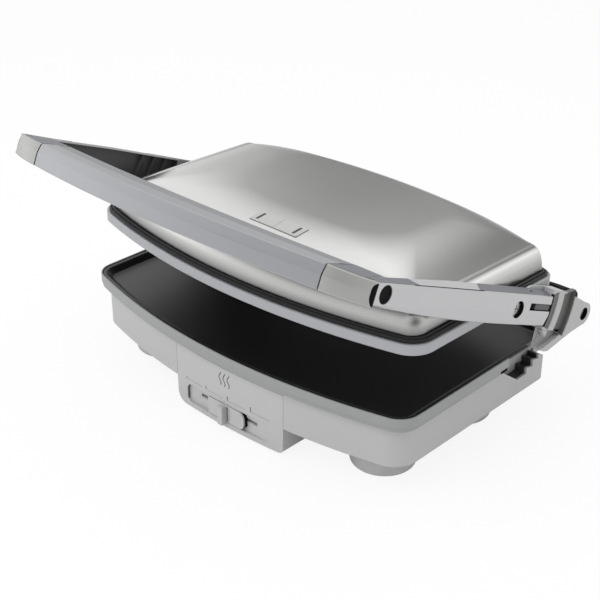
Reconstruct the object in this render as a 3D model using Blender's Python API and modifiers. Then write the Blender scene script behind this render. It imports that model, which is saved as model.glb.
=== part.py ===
# A contact press (sandwich maker) with a floating lid, as separate pieces on their joint axes.
# Metres, +Z up, +X to the right, the front towards -Y. The feet stand on z = 0, under the object's middle.
import math

import bmesh
import bpy
from mathutils import Matrix

# Fits shared by all pieces
gap = 0.0003
overrun = 0.004
inner_corner_share = 0.35
round_steps = 24

# Base, with y = 0 at the front of its rim and z = 0 at the rim's top
rim_width = 0.350
rim_depth = 0.2180
rim_front_radius = 0.5956
rim_rear_radius = 30.0
rim_front_corner = 0.0192
rim_rear_corner = 0.009
rim_height = 0.01155
rim_main_height = 0.0080
rim_edge_round = 0.0007
rim_strip_recess = 0.0010
rim_lip_width = 0.0012
rim_ledge_depth = 0.0032
rim_wall = 0.0045
base_height = 0.0725
housing_inset = 0.0055
housing_bottom = 0.0470
housing_front_corner = 0.0225
housing_rear_corner = 0.0035
housing_wall = 0.0020
housing_edge_round = 0.0012
round_middle_share = 0.3
housing_bottom_flange = 0.0055
housing_top_flange = 0.0075

# Cooking plates and what heats them
plate_rim_round = 0.0006
plate_flange_thickness = 0.0021
dish_lip_inset = 0.0050
dish_wall_inset = 0.0095
dish_depth = 0.0060
lower_plate_thickness = 0.0100
plate_flange_inset = 0.0048
plate_body_inset = 0.0115
element_radius = 0.0033
element_side_inset = 0.070
element_half_width = rim_width / 2 - element_side_inset
element_front = 0.045
element_rear_inset = 0.038
element_rear = rim_depth - element_rear_inset
element_bend = 0.030
reflector_inset = 0.020
reflector_slope = 0.002
reflector_wall = 0.0008
reflector_depth = 0.0077

# Control panel and its slider
panel_left = -0.0500
panel_right = 0.0687
panel_top = -0.0158
panel_bottom = -0.0700
panel_left_corner = 0.010
panel_right_corner = 0.003
panel_top_corner = 0.0005
panel_back = 0.0125
panel_wall = 0.0025
panel_box_depth = 0.0450
track_left = -0.0370
track_right = 0.0533
track_bottom = -0.0655
track_top = -0.0483
track_corner = 0.005
track_floor = 0.0085
slot_left = -0.0221
slot_right = 0.0417
slot_level = -0.0545
slot_height = 0.0032
knob_left = -0.0105
knob_right = 0.0301
knob_bottom = -0.0640
knob_top = -0.0487
knob_front = 0.0045
knob_right_corner = 0.0055
knob_left_corner = 0.001
fin_left = 0.0048
fin_width = 0.0052
fin_reach = 0.0045
fin_bottom = -0.0660
fin_top = -0.0490
stem_left = 0.0092
stem_width = 0.0060
stem_height = 0.0024
carriage_length = 0.030
carriage_depth = 0.0060
carriage_height = 0.0150
thermostat_length = 0.060
thermostat_height = 0.0170

# Feet
foot_radius = 0.0262
foot_side_inset = 0.0486
foot_side = rim_width / 2 - foot_side_inset
foot_front = 0.0614
foot_rear_inset = 0.0600
foot_rear = rim_depth - foot_rear_inset
foot_edge_round = 0.0035
pad_radius = 0.0185
pad_thickness = 0.0030
pad_proud = 0.0015

# Stepped racks in the rear corners of the base
step_reach = 0.0699
step_front = rim_depth - step_reach
rim_cut_setback = 0.0034
rim_cut_front = step_front + rim_cut_setback
rim_notch_lead = 0.0052
rim_notch_front = step_front - rim_notch_lead
step_top = -0.0129
step_run = 0.0263
step_fall = 0.0193
tread_lengths = (0.0121, 0.0085, 0.0076)
tread_falls = (-0.0004, 0.0023, 0.0018)
riser_heights = (0.0056, 0.0061, 0.0036)
post_length = 0.0064
post_fall = 0.0030
post_chamfer_length = 0.0050
post_chamfer_fall = 0.0047
rack_width = 0.0087
liner_width = 0.0022
pocket_margin = 0.004

# Rear hinge, its posts and pins
hinge_setback = 0.0156
hinge_y = rim_depth + hinge_setback
hinge_z = 0.0115
hinge_pin_radius = 0.0035
hinge_bore_radius = 0.0038
hinge_hole_radius = 0.0055
hinge_hole_depth = 0.0040
boss_radius = 0.0095
post_side_inset = 0.0330
post_width = 0.0160
post_inner = rim_width / 2 - post_side_inset
post_outer = post_inner + post_width
post_boss_radius = 0.0085
post_foot = -0.030
post_rear_slope = 0.004
cord_side_inset = 0.055
cord_side = cord_side_inset - rim_width / 2
cord_level = -0.032
gland_flange_radius = 0.0090
gland_neck_radius = 0.0062
gland_bore_radius = 0.0036
gland_flange = 0.0030
gland_inner_length = 0.0040
terminal_length = 0.030
terminal_depth = 0.018
terminal_height = 0.013

# Arms, measured along (forward from the hinge) and up (square to the arm)
arm_pitch = math.radians(23.5)
arm_clearance = 0.0035
arm_thickness = 0.0099
arm_inner = rim_width / 2 + arm_clearance
arm_outer = arm_inner + arm_thickness
arm_reach = 0.0705
arm_front = rim_depth + arm_reach
arm_top = 0.0120
arm_crest = 0.0150
arm_bottom_front = -0.0040
arm_bottom_middle = -0.0104
arm_bottom_rear = -0.0122
arm_end_radius = 0.0475
arm_end_rise_share = 0.26
pivot_along = 0.1052
pivot_radius = 0.0025
pivot_bore_radius = 0.0028
pivot_head_radius = 0.0062
pivot_head_thickness = 0.0016
pivot_recess = 0.0028
pivot_reach = 0.0052
plug_setback = 0.0107
plug_along = arm_front - plug_setback
plug_up = 0.0043
plug_radius = 0.0063
plug_depth = 0.0030
plug_recess = 0.0006
slot_length = 0.0315
slot_front = pivot_along - arm_end_radius + slot_length
slot_bottom_up = 0.0
slot_rise = 0.0057
slot_depth = 0.0060
lock_opening = 0.0094
lock_front = slot_front - lock_opening
lock_recess = 0.0012

# Handle between the arms
corner_length = 0.0374
grip_half_length = arm_outer - corner_length
grip_joint = 0.0006
grip_bow_radius = 0.68
grip_back_bow_share = 0.6
grip_lead = 0.0119
grip_depth = 0.0333
grip_front = arm_front + grip_lead
grip_back = grip_front - grip_depth
grip_bottom = -0.0062
grip_middle = 0.0045
grip_top = 0.0122
grip_top_setback = 0.0022
grip_top_front = grip_front - grip_top_setback
grip_crown = 0.0131
grip_rear_depth = 0.0159
grip_split = grip_back + grip_rear_depth
grip_rear_bottom = -0.0020
corner_front_setback = 0.0091
corner_bulge = 0.0009
corner_station_shares = (0, 0.5, 0.85, 1)
corner_lift = 0.0015
grip_rear_lip = 0.0060

# Hinge brackets
bracket_lap = 0.0025
cheek_wall = 0.0022
web_recess = 0.0046
bracket_inner = arm_inner - bracket_lap
bracket_cheek = bracket_inner + cheek_wall
bracket_web = arm_outer - web_recess
bracket_top = 0.0175
bracket_shoulder = 0.0115
bracket_nose = -0.0325
bracket_edge_drop = 0.0012
bracket_rear_drop = 0.0025
bracket_top_shares = (0.20, 0.50, 0.77, 1.10, 1.36, 1.50)
bracket_under_shares = (1.17, 1.02, 0.985, 0.80, 0.70, 0.23)
boss_lean = math.radians(75)
boss_foot_lean = math.radians(100)
cheek_lean = math.radians(80)
groove_lean = math.radians(13.5)
web_shares = (0.40, 1.30, 1.10, 0.80)
web_lip = 0.0044
rib_width = 0.0167
groove_width = 0.0185
rib_inner_radius = arm_end_radius + gap
rib_outer_radius = rib_inner_radius + rib_width
groove_outer_radius = rib_outer_radius + groove_width
web_top = -0.0150
web_thickness = 0.0022
boss_clearance = 0.0005
hinge_cover_clearance = 0.0010
boss_inner = post_outer + boss_clearance
hinge_cover_inner = post_outer + hinge_cover_clearance
hinge_cover_top = 0.0173
hinge_cover_front = 0.0310
hinge_cover_low = 0.0069
hinge_cover_saddle = 0.0158
hinge_cover_saddle_share = 0.74
hinge_cover_hump_share = 0.61
hinge_cover_back = 0.0155
hinge_cover_tail = 0.0135
hinge_cover_rear = -0.0040

# Lid, measured from its pivot
lid_tilt = math.radians(1.1)
lid_rear = 0.0926
lid_overhang = 0.0014
lid_front = lid_rear - rim_depth - lid_overhang
lid_rear_radius = 0.5956
lid_front_corner = 0.0220
lid_rear_corner = 0.0100
lid_band_bottom = -0.0073
lid_band_height = 0.0088
lid_band_wall = 0.0060
gasket_inset = 0.0025
gasket_height = 0.0024
gasket_bead_width = 0.0038
gasket_ledge = 0.0021
gasket_width = 0.0095
cover_inset = 0.0069
cover_sheet = 0.0010
cover_sheet_drop = 0.0013
cover_rise = 0.0205
cover_shoulder = 0.0131
shoulder_shares = (0, 0.03, 0.15, 0.45, 1)
crown_shares = (0.25, 0.55, 1)
cover_rear_share = 0.20
cover_fall_share = 0.12
cover_crown = 0.0100
cover_crown_inset = 0.0390
cover_crown_run = rim_depth / 2 - cover_crown_inset
upper_plate_top = 0.0010
upper_plate_shoulder = -0.0050
upper_plate_bottom = -0.0095
upper_plate_step = 0.0062
upper_plate_draft = 0.0010
indicator_x = 0.0049
indicator_setback = 0.0604
indicator_y = lid_front + indicator_setback
indicator_length = 0.0506
indicator_width = 0.0153
indicator_thickness = 0.0026
indicator_proud = 0.0008
light_length = 0.0103
light_width = 0.0022
light_spacing = 0.0394
light_recess = 0.0004

# Where the base sits in the world
grip_bow = grip_half_length**2 / (2 * grip_bow_radius)


def arm_point(along, up):
    """(y, z) of a point of the arm, in the base's frame."""
    y = hinge_y - along * math.cos(arm_pitch) + up * math.sin(arm_pitch)
    z = hinge_z + along * math.sin(arm_pitch) + up * math.cos(arm_pitch)
    return y, z


frontmost = arm_point(grip_front + grip_bow, grip_bottom)[0]
rearmost = hinge_y + boss_radius
base_shift = -(frontmost + rearmost) / 2


# Scene, collections, empties and materials
def clear_scene():
    for thing in list(bpy.data.objects):
        bpy.data.objects.remove(thing)


clear_scene()
pieces = bpy.data.collections.new("contact_press")
helpers = bpy.data.collections.new("contact_press_cutters")
bpy.context.scene.collection.children.link(pieces)
bpy.context.scene.collection.children.link(helpers)


def new_frame(name, parent, location, turn_about_x=0.0):
    frame = bpy.data.objects.new(name, None)
    pieces.objects.link(frame)
    frame.parent = parent
    frame.location = location
    frame.rotation_euler = (turn_about_x, 0, 0)
    return frame


def new_material(name, colour, roughness, metallic=0.0):
    material = bpy.data.materials.new(name)
    material.use_nodes = True
    shader = material.node_tree.nodes["Principled BSDF"]
    shader.inputs["Base Color"].default_value = (*colour, 1)
    shader.inputs["Roughness"].default_value = roughness
    shader.inputs["Metallic"].default_value = metallic
    material.diffuse_color = (*colour, 1)
    return material


finishes = {
    "light_plastic": ((0.47, 0.47, 0.47), 0.5, 0.0),
    "grey_paint": ((0.33, 0.34, 0.33), 0.4, 0.0),
    "silver_paint": ((0.36, 0.37, 0.39), 0.35, 0.6),
    "satin_aluminium": ((0.55, 0.56, 0.58), 0.3, 1.0),
    "brushed_steel": ((0.50, 0.50, 0.49), 0.35, 1.0),
    "non_stick": ((0.02, 0.02, 0.02), 0.45, 0.0),
    "black_rubber": ((0.02, 0.02, 0.02), 0.6, 0.0),
    "black_plastic": ((0.03, 0.03, 0.03), 0.5, 0.0),
    "dark_grey_plastic": ((0.10, 0.10, 0.11), 0.5, 0.0),
    "zinc_steel": ((0.45, 0.45, 0.45), 0.35, 1.0),
    "clear_lens": ((0.20, 0.20, 0.20), 0.2, 0.0),
}


def place(name, mesh, finish, parent, helper=False, location=(0, 0, 0)):
    thing = bpy.data.objects.new(name, mesh)
    (helpers if helper else pieces).objects.link(thing)
    thing.parent = parent
    thing.location = location
    if helper:
        thing.hide_render = True
        thing.display_type = "WIRE"
    else:
        mesh.materials.append(new_material(name, *finishes[finish]))
    return thing


# Shapes
def mesh_from(bm, name):
    bm.normal_update()
    bmesh.ops.recalc_face_normals(bm, faces=bm.faces)
    if bm.calc_volume(signed=True) < 0:
        bmesh.ops.reverse_faces(bm, faces=bm.faces)
    mesh = bpy.data.meshes.new(name)
    bm.to_mesh(mesh)
    bm.free()
    return mesh


def arc(centre, radius, start, end, steps):
    """Points on a circle from one angle to another, in radians, both ends included."""
    angles = [start + (end - start) * i / steps for i in range(steps + 1)]
    return [(centre[0] + radius * math.cos(a), centre[1] + radius * math.sin(a)) for a in angles]


def bowed_outline(half_width, front, rear, front_radius, rear_radius, front_corner, rear_corner, inset):
    """A rectangle with a bowed front and rear and round corners, drawn in by the inset."""
    side = half_width - inset
    near = front + inset
    far = rear - inset
    near_radius = front_radius - inset
    far_radius = rear_radius - inset
    near_corner = max(front_corner - inset, front_corner * inner_corner_share)
    far_corner = max(rear_corner - inset, rear_corner * inner_corner_share)
    near_lean = math.asin((side - near_corner) / (near_radius - near_corner))
    far_lean = math.asin((side - far_corner) / (far_radius - far_corner))
    near_centre_y = near + near_radius - (near_radius - near_corner) * math.cos(near_lean)
    far_centre_y = far - far_radius + (far_radius - far_corner) * math.cos(far_lean)
    down, right, up = -math.pi / 2, 0.0, math.pi / 2
    points = arc((0, near + near_radius), near_radius, down, down + near_lean, 9)
    points += arc((side - near_corner, near_centre_y), near_corner, down + near_lean, right, 5)[1:]
    points += arc((side - far_corner, far_centre_y), far_corner, right, up - far_lean, 4)
    points += arc((0, far - far_radius), far_radius, up - far_lean, up, 4)[1:]
    return points + [(-x, y) for x, y in reversed(points[1:-1])]


def base_ring(inset, z):
    outline = bowed_outline(
        rim_width / 2, 0, rim_depth, rim_front_radius, rim_rear_radius,
        rim_front_corner, rim_rear_corner, inset,
    )
    return [(x, y, z) for x, y in outline]


def lid_ring(inset, z):
    outline = bowed_outline(
        rim_width / 2, lid_front, lid_rear, rim_front_radius, lid_rear_radius,
        lid_front_corner, lid_rear_corner, inset,
    )
    return [(x, y, z) for x, y in outline]


def cover_ring(inset, height):
    """A ring of the lid's cover: its rear is drawn in less than its front, and its top falls to the rear."""
    rear = lid_rear + (inset - cover_inset) * (1 - cover_rear_share)
    outline = bowed_outline(
        rim_width / 2, lid_front, rear, rim_front_radius, lid_rear_radius,
        lid_front_corner, lid_rear_corner, inset,
    )
    return [(x, y, cover_foot + height * cover_fall(y)) for x, y in outline]


def cover_fall(y):
    return 1 - cover_fall_share * (y - lid_front) / (lid_rear - lid_front)


def loft(name, rings, closed=False):
    """A skin through rings of points, either capped at both ends or joined end to end."""
    bm = bmesh.new()
    levels = [[bm.verts.new(point) for point in ring] for ring in rings]
    count = len(rings[0])
    pairs = list(zip(levels, levels[1:])) + ([(levels[-1], levels[0])] if closed else [])
    for lower, upper in pairs:
        for i in range(count):
            j = (i + 1) % count
            bm.faces.new((lower[i], lower[j], upper[j], upper[i]))
    if not closed:
        bm.faces.new(levels[0])
        bm.faces.new(levels[-1])
    return mesh_from(bm, name)


def ring_piece(name, ring, profile):
    """A closed profile of (inset, z) pairs carried round an outline."""
    return loft(name, [ring(inset, z) for inset, z in profile], closed=True)


def solid_piece(name, ring, profile):
    return loft(name, [ring(inset, z) for inset, z in profile])


def extruded(name, outline, low, high, matrix):
    """A flat outline as a filled 2D curve, extruded from low to high and turned into place by the matrix."""
    curve = bpy.data.curves.new(name, "CURVE")
    curve.dimensions = "2D"
    curve.fill_mode = "BOTH"
    curve.extrude = (high - low) / 2
    spline = curve.splines.new("POLY")
    spline.points.add(len(outline) - 1)
    for point, (a, b) in zip(spline.points, outline):
        point.co = (a, b, 0, 1)
    spline.use_cyclic_u = True
    thing = bpy.data.objects.new(name, curve)
    helpers.objects.link(thing)
    bpy.context.view_layer.update()
    made = bpy.data.meshes.new_from_object(thing.evaluated_get(bpy.context.evaluated_depsgraph_get()))
    bpy.data.objects.remove(thing)
    bm = bmesh.new()
    bm.from_mesh(made)
    bmesh.ops.remove_doubles(bm, verts=bm.verts, dist=1e-6)
    bm.transform(matrix @ Matrix.Translation((0, 0, (low + high) / 2)))
    bpy.data.meshes.remove(made)
    return mesh_from(bm, name)


# Axes swapped so that an outline drawn flat stands up: (y, z) outlines run along X, (x, z) outlines along Y
side_view = Matrix(((0, 0, 1, 0), (1, 0, 0, 0), (0, 1, 0, 0), (0, 0, 0, 1)))
front_view = Matrix(((1, 0, 0, 0), (0, 0, 1, 0), (0, 1, 0, 0), (0, 0, 0, 1)))
arm_view = side_view @ Matrix.Scale(-1, 4, (1, 0, 0))
along_x = Matrix.Rotation(math.pi / 2, 4, "Y")
along_y = Matrix.Rotation(-math.pi / 2, 4, "X")


def box(name, low, high):
    bm = bmesh.new()
    bmesh.ops.create_cube(bm, size=1)
    size = [b - a for a, b in zip(low, high)]
    middle = [(a + b) / 2 for a, b in zip(low, high)]
    bm.transform(Matrix.Translation(middle) @ Matrix.Diagonal((*size, 1)))
    return mesh_from(bm, name)


def cylinder(name, radius, start, end, y, z, turn=along_x, steps=round_steps):
    """A cylinder from start to end along X (or along Y), through the other two places given."""
    bm = bmesh.new()
    bmesh.ops.create_cone(
        bm, cap_ends=True, segments=steps, radius1=radius, radius2=radius, depth=end - start
    )
    middle = ((start + end) / 2, y, z) if turn is along_x else (y, (start + end) / 2, z)
    bm.transform(Matrix.Translation(middle) @ turn)
    return mesh_from(bm, name)


def turned(name, profile, finish, parent, location, turn=None):
    """A solid turned about its own Z axis from (radius, height) pairs, listed from the top down."""
    mesh = bpy.data.meshes.new(name)
    edges = [(i, i + 1) for i in range(len(profile) - 1)]
    mesh.from_pydata([(radius, 0, height) for radius, height in profile], edges, [])
    thing = place(name, mesh, finish, parent, location=location)
    if turn is not None:
        thing.rotation_euler = turn.to_euler()
    screw = thing.modifiers.new("turn", "SCREW")
    screw.steps = screw.render_steps = round_steps
    screw.use_merge_vertices = True
    screw.merge_threshold = 1e-6
    return thing


def rounded_rectangle(left, bottom, right, top, corners, steps=4):
    """Corner radii are given from the lower left, anticlockwise."""
    centres = [
        (left + corners[0], bottom + corners[0]),
        (right - corners[1], bottom + corners[1]),
        (right - corners[2], top - corners[2]),
        (left + corners[3], top - corners[3]),
    ]
    points = []
    for i, (centre, radius) in enumerate(zip(centres, corners)):
        start = math.pi + i * math.pi / 2
        points += arc(centre, radius, start, start + math.pi / 2, steps)
    return points


def combine(thing, operation, meshes):
    """Booleans that stay as modifiers, each with its own hidden helper in the same frame as the piece."""
    for i, mesh in enumerate(meshes):
        helper = place(f"{thing.name}_{operation.lower()}_{i}", mesh, None, thing.parent, helper=True)
        modifier = thing.modifiers.new(helper.name, "BOOLEAN")
        modifier.operation = operation
        modifier.object = helper


def shade(thing, degrees=35):
    thing.data.shade_smooth()
    thing.data.set_sharp_from_angle(angle=math.radians(degrees))


# Frames: the base, the arms about the rear hinge, the lid about the pivot bolts
base = new_frame("base_frame", None, (0, base_shift, base_height))
arms = new_frame("arm_frame", base, (0, hinge_y, hinge_z), -arm_pitch)
lid = new_frame("lid_frame", arms, (0, -pivot_along, 0), arm_pitch - lid_tilt)
slider = new_frame("slider_frame", base, (fin_left + fin_width / 2, 0, slot_level))

housing_top = -rim_height - gap
housing_rear = rim_depth - housing_inset
cover_floor = -housing_bottom + housing_wall


def housing_ring(inset, z):
    outline = bowed_outline(
        rim_width / 2 - housing_inset,
        housing_inset,
        housing_rear,
        rim_front_radius - housing_inset,
        rim_rear_radius - housing_inset,
        housing_front_corner,
        housing_rear_corner,
        inset,
    )
    return [(x, y, z) for x, y in outline]


def rear_face(x, inset):
    """Where the base's nearly straight rear lies, at a place across it."""
    return rim_depth - rim_rear_radius + math.sqrt((rim_rear_radius - inset) ** 2 - x**2)


# Base shell, rim, plate and what lies under it
def step_line():
    """The ramp, steps and rear post of the cut-away side wall, as (y, z) from front to rear."""
    y, z = step_front, step_top
    points = [(y, z), (y + step_run, z - step_fall)]
    for length, fall, rise in zip(tread_lengths, tread_falls, riser_heights):
        y, z = points[-1]
        points += [(y + length, z - fall), (y + length, z - fall + rise)]
    y, z = points[-1]
    points.append((y + post_length, z - post_fall))
    points.append((y + post_length + post_chamfer_length, z - post_fall - post_chamfer_fall))
    return points


def pocket_cutter(side):
    points = step_line()
    far = rim_depth + overrun
    outline = points + [(far, points[-1][1]), (far, overrun), (step_front - overrun, overrun)]
    outer = rim_width / 2 + overrun
    inner = rim_width / 2 - housing_inset - housing_wall - rack_width - liner_width - pocket_margin
    low, high = sorted((side * inner, side * outer))
    return extruded("pocket", outline, low, high, side_view)


def build_housing():
    bottom = -housing_bottom
    profile = [
        (0, housing_top),
        (0, bottom + housing_edge_round),
        (housing_edge_round * round_middle_share, bottom + housing_edge_round * round_middle_share),
        (housing_edge_round, bottom),
        (housing_bottom_flange, bottom),
        (housing_bottom_flange, bottom + housing_wall),
        (housing_wall, bottom + housing_wall),
        (housing_wall, housing_top - housing_wall),
        (housing_top_flange, housing_top - housing_wall),
        (housing_top_flange, housing_top),
    ]
    thing = place("base_housing", ring_piece("base_housing", housing_ring, profile), "light_plastic", base)
    opening = box(
        "opening",
        (panel_left - gap, -overrun, panel_bottom),
        (panel_right + gap, panel_back + overrun, panel_top + gap),
    )
    hole = cylinder(
        "hole",
        gland_neck_radius + gap,
        housing_rear - housing_wall - overrun,
        rim_depth + overrun,
        cord_side,
        cord_level,
        along_y,
    )
    combine(thing, "DIFFERENCE", [opening, hole, pocket_cutter(1), pocket_cutter(-1)])
    shade(thing)


def rack_sides(side):
    """The x of the rack's outer face, its inner face and the liner's inner face, on one side of the base."""
    wall_inside = rim_width / 2 - housing_inset - housing_wall - gap
    rack_inside = wall_inside - rack_width
    return side * wall_inside, side * rack_inside, side * (rack_inside - gap - liner_width)


def build_rim_band():
    """The band stops at the stepped corners, and a strip of it closes the rear between them."""
    profile = [
        (rim_edge_round, 0),
        (0, -rim_edge_round),
        (0, -rim_main_height),
        (rim_strip_recess, -rim_main_height - rim_strip_recess / 2),
        (rim_strip_recess, -rim_height),
        (rim_wall, -rim_height),
        (rim_wall, -rim_ledge_depth),
        (rim_lip_width, -rim_ledge_depth),
        (rim_lip_width, 0),
    ]
    outer = rim_width / 2 + overrun
    inner = rack_sides(1)[2] - gap
    band = place("lower_rim_band", ring_piece("lower_rim_band", base_ring, profile), "grey_paint", base)
    low = -rim_height - overrun
    behind = box("behind", (-outer, rim_cut_front, low), (outer, rim_depth + overrun, overrun))
    notch = box("notch", (-outer, rim_notch_front, low), (outer, rim_cut_front + gap, -rim_main_height))
    combine(band, "DIFFERENCE", [behind, notch])
    shade(band)
    strip = place("rear_rim_band", ring_piece("rear_rim_band", base_ring, profile), "grey_paint", base)
    middle = (rim_cut_front + rim_depth) / 2
    between = box("between", (-inner, middle, -rim_height - overrun), (inner, rim_depth + overrun, overrun))
    combine(strip, "INTERSECT", [between])
    shade(strip)


def build_lower_plate():
    edge = rim_lip_width + gap
    flange_bottom = -rim_ledge_depth + gap
    flange_top = flange_bottom + plate_flange_thickness
    profile = [
        (dish_wall_inset, -dish_depth),
        (dish_lip_inset, flange_top),
        (edge + plate_rim_round, flange_top),
        (edge, flange_top - plate_rim_round),
        (edge, flange_bottom),
        (plate_flange_inset, flange_bottom),
        (plate_body_inset, -lower_plate_thickness),
    ]
    thing = place("lower_plate", solid_piece("lower_plate", base_ring, profile), "non_stick", base)
    shade(thing)


def bent_element(name, level, front, rear, parent):
    """A tube bent into a U, its legs running to the rear."""
    half = element_half_width
    points = [(-half, rear)]
    points += arc((-half + element_bend, front + element_bend), element_bend, math.pi, 1.5 * math.pi, 6)
    points += arc((half - element_bend, front + element_bend), element_bend, 1.5 * math.pi, 2 * math.pi, 6)
    points += [(half, rear)]
    curve = bpy.data.curves.new(name, "CURVE")
    curve.dimensions = "3D"
    curve.bevel_depth = element_radius
    curve.bevel_resolution = 2
    curve.use_fill_caps = True
    spline = curve.splines.new("POLY")
    spline.points.add(len(points) - 1)
    for point, (x, y) in zip(spline.points, points):
        point.co = (x, y, level, 1)
    place(name, curve, "zinc_steel", parent)


def tray(name, ring, rim_level, depth, finish, parent):
    """A thin pan that opens towards the plate: depth is negative when it hangs below."""
    wall = math.copysign(reflector_wall, depth)
    profile = [
        (reflector_inset + reflector_slope, rim_level + depth),
        (reflector_inset, rim_level),
        (reflector_inset + reflector_wall, rim_level),
        (reflector_inset + reflector_slope + reflector_wall, rim_level + depth - wall),
    ]
    thing = place(name, solid_piece(name, ring, profile), finish, parent)
    shade(thing)


def build_lower_heating():
    underside = -lower_plate_thickness - gap
    bent_element("lower_heating_element", underside - element_radius, element_front, element_rear, base)
    tray("lower_reflector", base_ring, underside, -reflector_depth, "zinc_steel", base)


def build_bottom_cover():
    inset = housing_bottom_flange + gap
    profile = [(inset, -housing_bottom), (inset, cover_floor)]
    mesh = solid_piece("base_bottom_cover", housing_ring, profile)
    thing = place("base_bottom_cover", mesh, "light_plastic", base)
    notch = box(
        "notch",
        (panel_left - gap, -overrun, panel_bottom),
        (panel_right + gap, panel_back + gap, overrun),
    )
    combine(thing, "DIFFERENCE", [notch])


# Racks in the stepped corners, on both sides
def build_rack(side, letter):
    rack_outer, rack_inner, liner_inner = rack_sides(side)
    low, high = sorted((rack_inner, rack_outer))
    under_flange = housing_top - housing_wall - gap
    front = step_front + step_run * (step_top - under_flange) / step_fall
    points = [(front, under_flange - gap)] + [(y, z - gap) for y, z in step_line()[1:-1]]
    foot = cover_floor + gap
    outline = points + [(points[-1][0], foot), (points[0][0], foot)]
    mesh = extruded(f"step_rack_{letter}", outline, low, high, side_view)
    place(f"step_rack_{letter}", mesh, "black_plastic", base)
    low, high = sorted((liner_inner, liner_inner + side * liner_width))
    name = f"step_pocket_liner_{letter}"
    liner = box(name, (low, front, foot), (high, points[-1][0], housing_top - gap))
    place(name, liner, "light_plastic", base)


# Control panel, its box, slider and thermostat
def build_control_panel():
    corners = (panel_left_corner, panel_right_corner, panel_top_corner, panel_top_corner)
    outline = rounded_rectangle(panel_left, panel_bottom, panel_right, panel_top, corners)
    mesh = extruded("control_panel", outline, -overrun, panel_box_depth, front_view)
    thing = place("control_panel", mesh, "light_plastic", base)
    body = solid_piece("body", housing_ring, [(0, panel_bottom - overrun), (0, overrun)])
    combine(thing, "INTERSECT", [body])
    inside = box(
        "inside",
        (panel_left + panel_wall, panel_back, panel_bottom + panel_wall),
        (panel_right - panel_wall, panel_box_depth - panel_wall, overrun),
    )
    above = box(
        "above",
        (panel_left - overrun, panel_back, -housing_bottom - gap),
        (panel_right + overrun, panel_box_depth + overrun, overrun),
    )
    track_corners = (track_corner,) * 4
    track = rounded_rectangle(track_left, track_bottom, track_right, track_top, track_corners)
    track_cut = extruded("track", track, -2 * overrun, track_floor, front_view)
    slot = box(
        "slot",
        (slot_left, -overrun, slot_level - slot_height / 2),
        (slot_right, panel_back + overrun, slot_level + slot_height / 2),
    )
    combine(thing, "DIFFERENCE", [inside, above, track_cut, slot])


def build_temperature_slider():
    x0, z0 = slider.location.x, slider.location.z
    corners = (knob_left_corner, knob_right_corner, knob_right_corner, knob_left_corner)
    outline = rounded_rectangle(knob_left - x0, knob_bottom - z0, knob_right - x0, knob_top - z0, corners)
    mesh = extruded("temperature_knob", outline, knob_front, track_floor - gap, front_view)
    thing = place("temperature_knob", mesh, "light_plastic", slider)
    fin = box(
        "fin",
        (fin_left - x0, knob_front - fin_reach, fin_bottom - z0),
        (fin_left + fin_width - x0, knob_front + gap, fin_top - z0),
    )
    stem = box(
        "stem",
        (stem_left - x0, knob_front + gap, -stem_height / 2),
        (stem_left + stem_width - x0, panel_back + gap, stem_height / 2),
    )
    combine(thing, "UNION", [fin, stem])
    start = panel_back + 2 * gap
    middle = stem_left + stem_width / 2 - x0
    carriage = box(
        "slider_carriage",
        (middle - carriage_length / 2, start, -carriage_height / 2),
        (middle + carriage_length / 2, start + carriage_depth, carriage_height / 2),
    )
    place("slider_carriage", carriage, "black_plastic", slider)


def build_thermostat():
    front = panel_back + 2 * gap + carriage_depth + gap
    floor = panel_bottom + panel_wall + gap
    middle = (panel_left + panel_right) / 2
    thermostat = box(
        "thermostat",
        (middle - thermostat_length / 2, front, floor),
        (middle + thermostat_length / 2, panel_box_depth - panel_wall - gap, floor + thermostat_height),
    )
    place("thermostat", thermostat, "dark_grey_plastic", base)


# Feet with their pads
def build_foot(x, y, label):
    top = -housing_bottom - gap
    bottom = -base_height + pad_proud
    centre = (foot_radius - foot_edge_round, bottom + foot_edge_round)
    rounded = arc(centre, foot_edge_round, 0, -math.pi / 2, 4)
    ceiling = bottom + pad_thickness - pad_proud + gap
    profile = [(0, top), (foot_radius, top), *rounded]
    profile += [(pad_radius + gap, bottom), (pad_radius + gap, ceiling), (0, ceiling)]
    shade(turned(f"foot_{label}", profile, "light_plastic", base, (x, y, 0)))
    pad_top = -base_height + pad_thickness
    pad = [(0, pad_top), (pad_radius, pad_top), (pad_radius, -base_height), (0, -base_height)]
    shade(turned(f"foot_pad_{label}", pad, "black_rubber", base, (x, y, 0)))


# Rear of the base: cord gland, terminal block, hinge posts and pins
def build_cord_inlet():
    face = rear_face(cord_side, housing_inset)
    flange_y = face + gap
    profile = [
        (gland_bore_radius, gland_flange),
        (gland_flange_radius, gland_flange),
        (gland_flange_radius, 0),
        (gland_neck_radius, 0),
        (gland_neck_radius, -housing_wall - gland_inner_length),
        (gland_bore_radius, -housing_wall - gland_inner_length),
        (gland_bore_radius, gland_flange),
    ]
    shade(turned("cord_gland", profile, "black_rubber", base, (cord_side, flange_y, cord_level), along_y))
    foot = cover_floor + gap
    back = flange_y - housing_wall - gland_inner_length - gap
    block = box(
        "terminal_block",
        (cord_side - terminal_length / 2, back - terminal_depth, foot),
        (cord_side + terminal_length / 2, back, foot + terminal_height),
    )
    place("terminal_block", block, "black_plastic", base)


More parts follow.
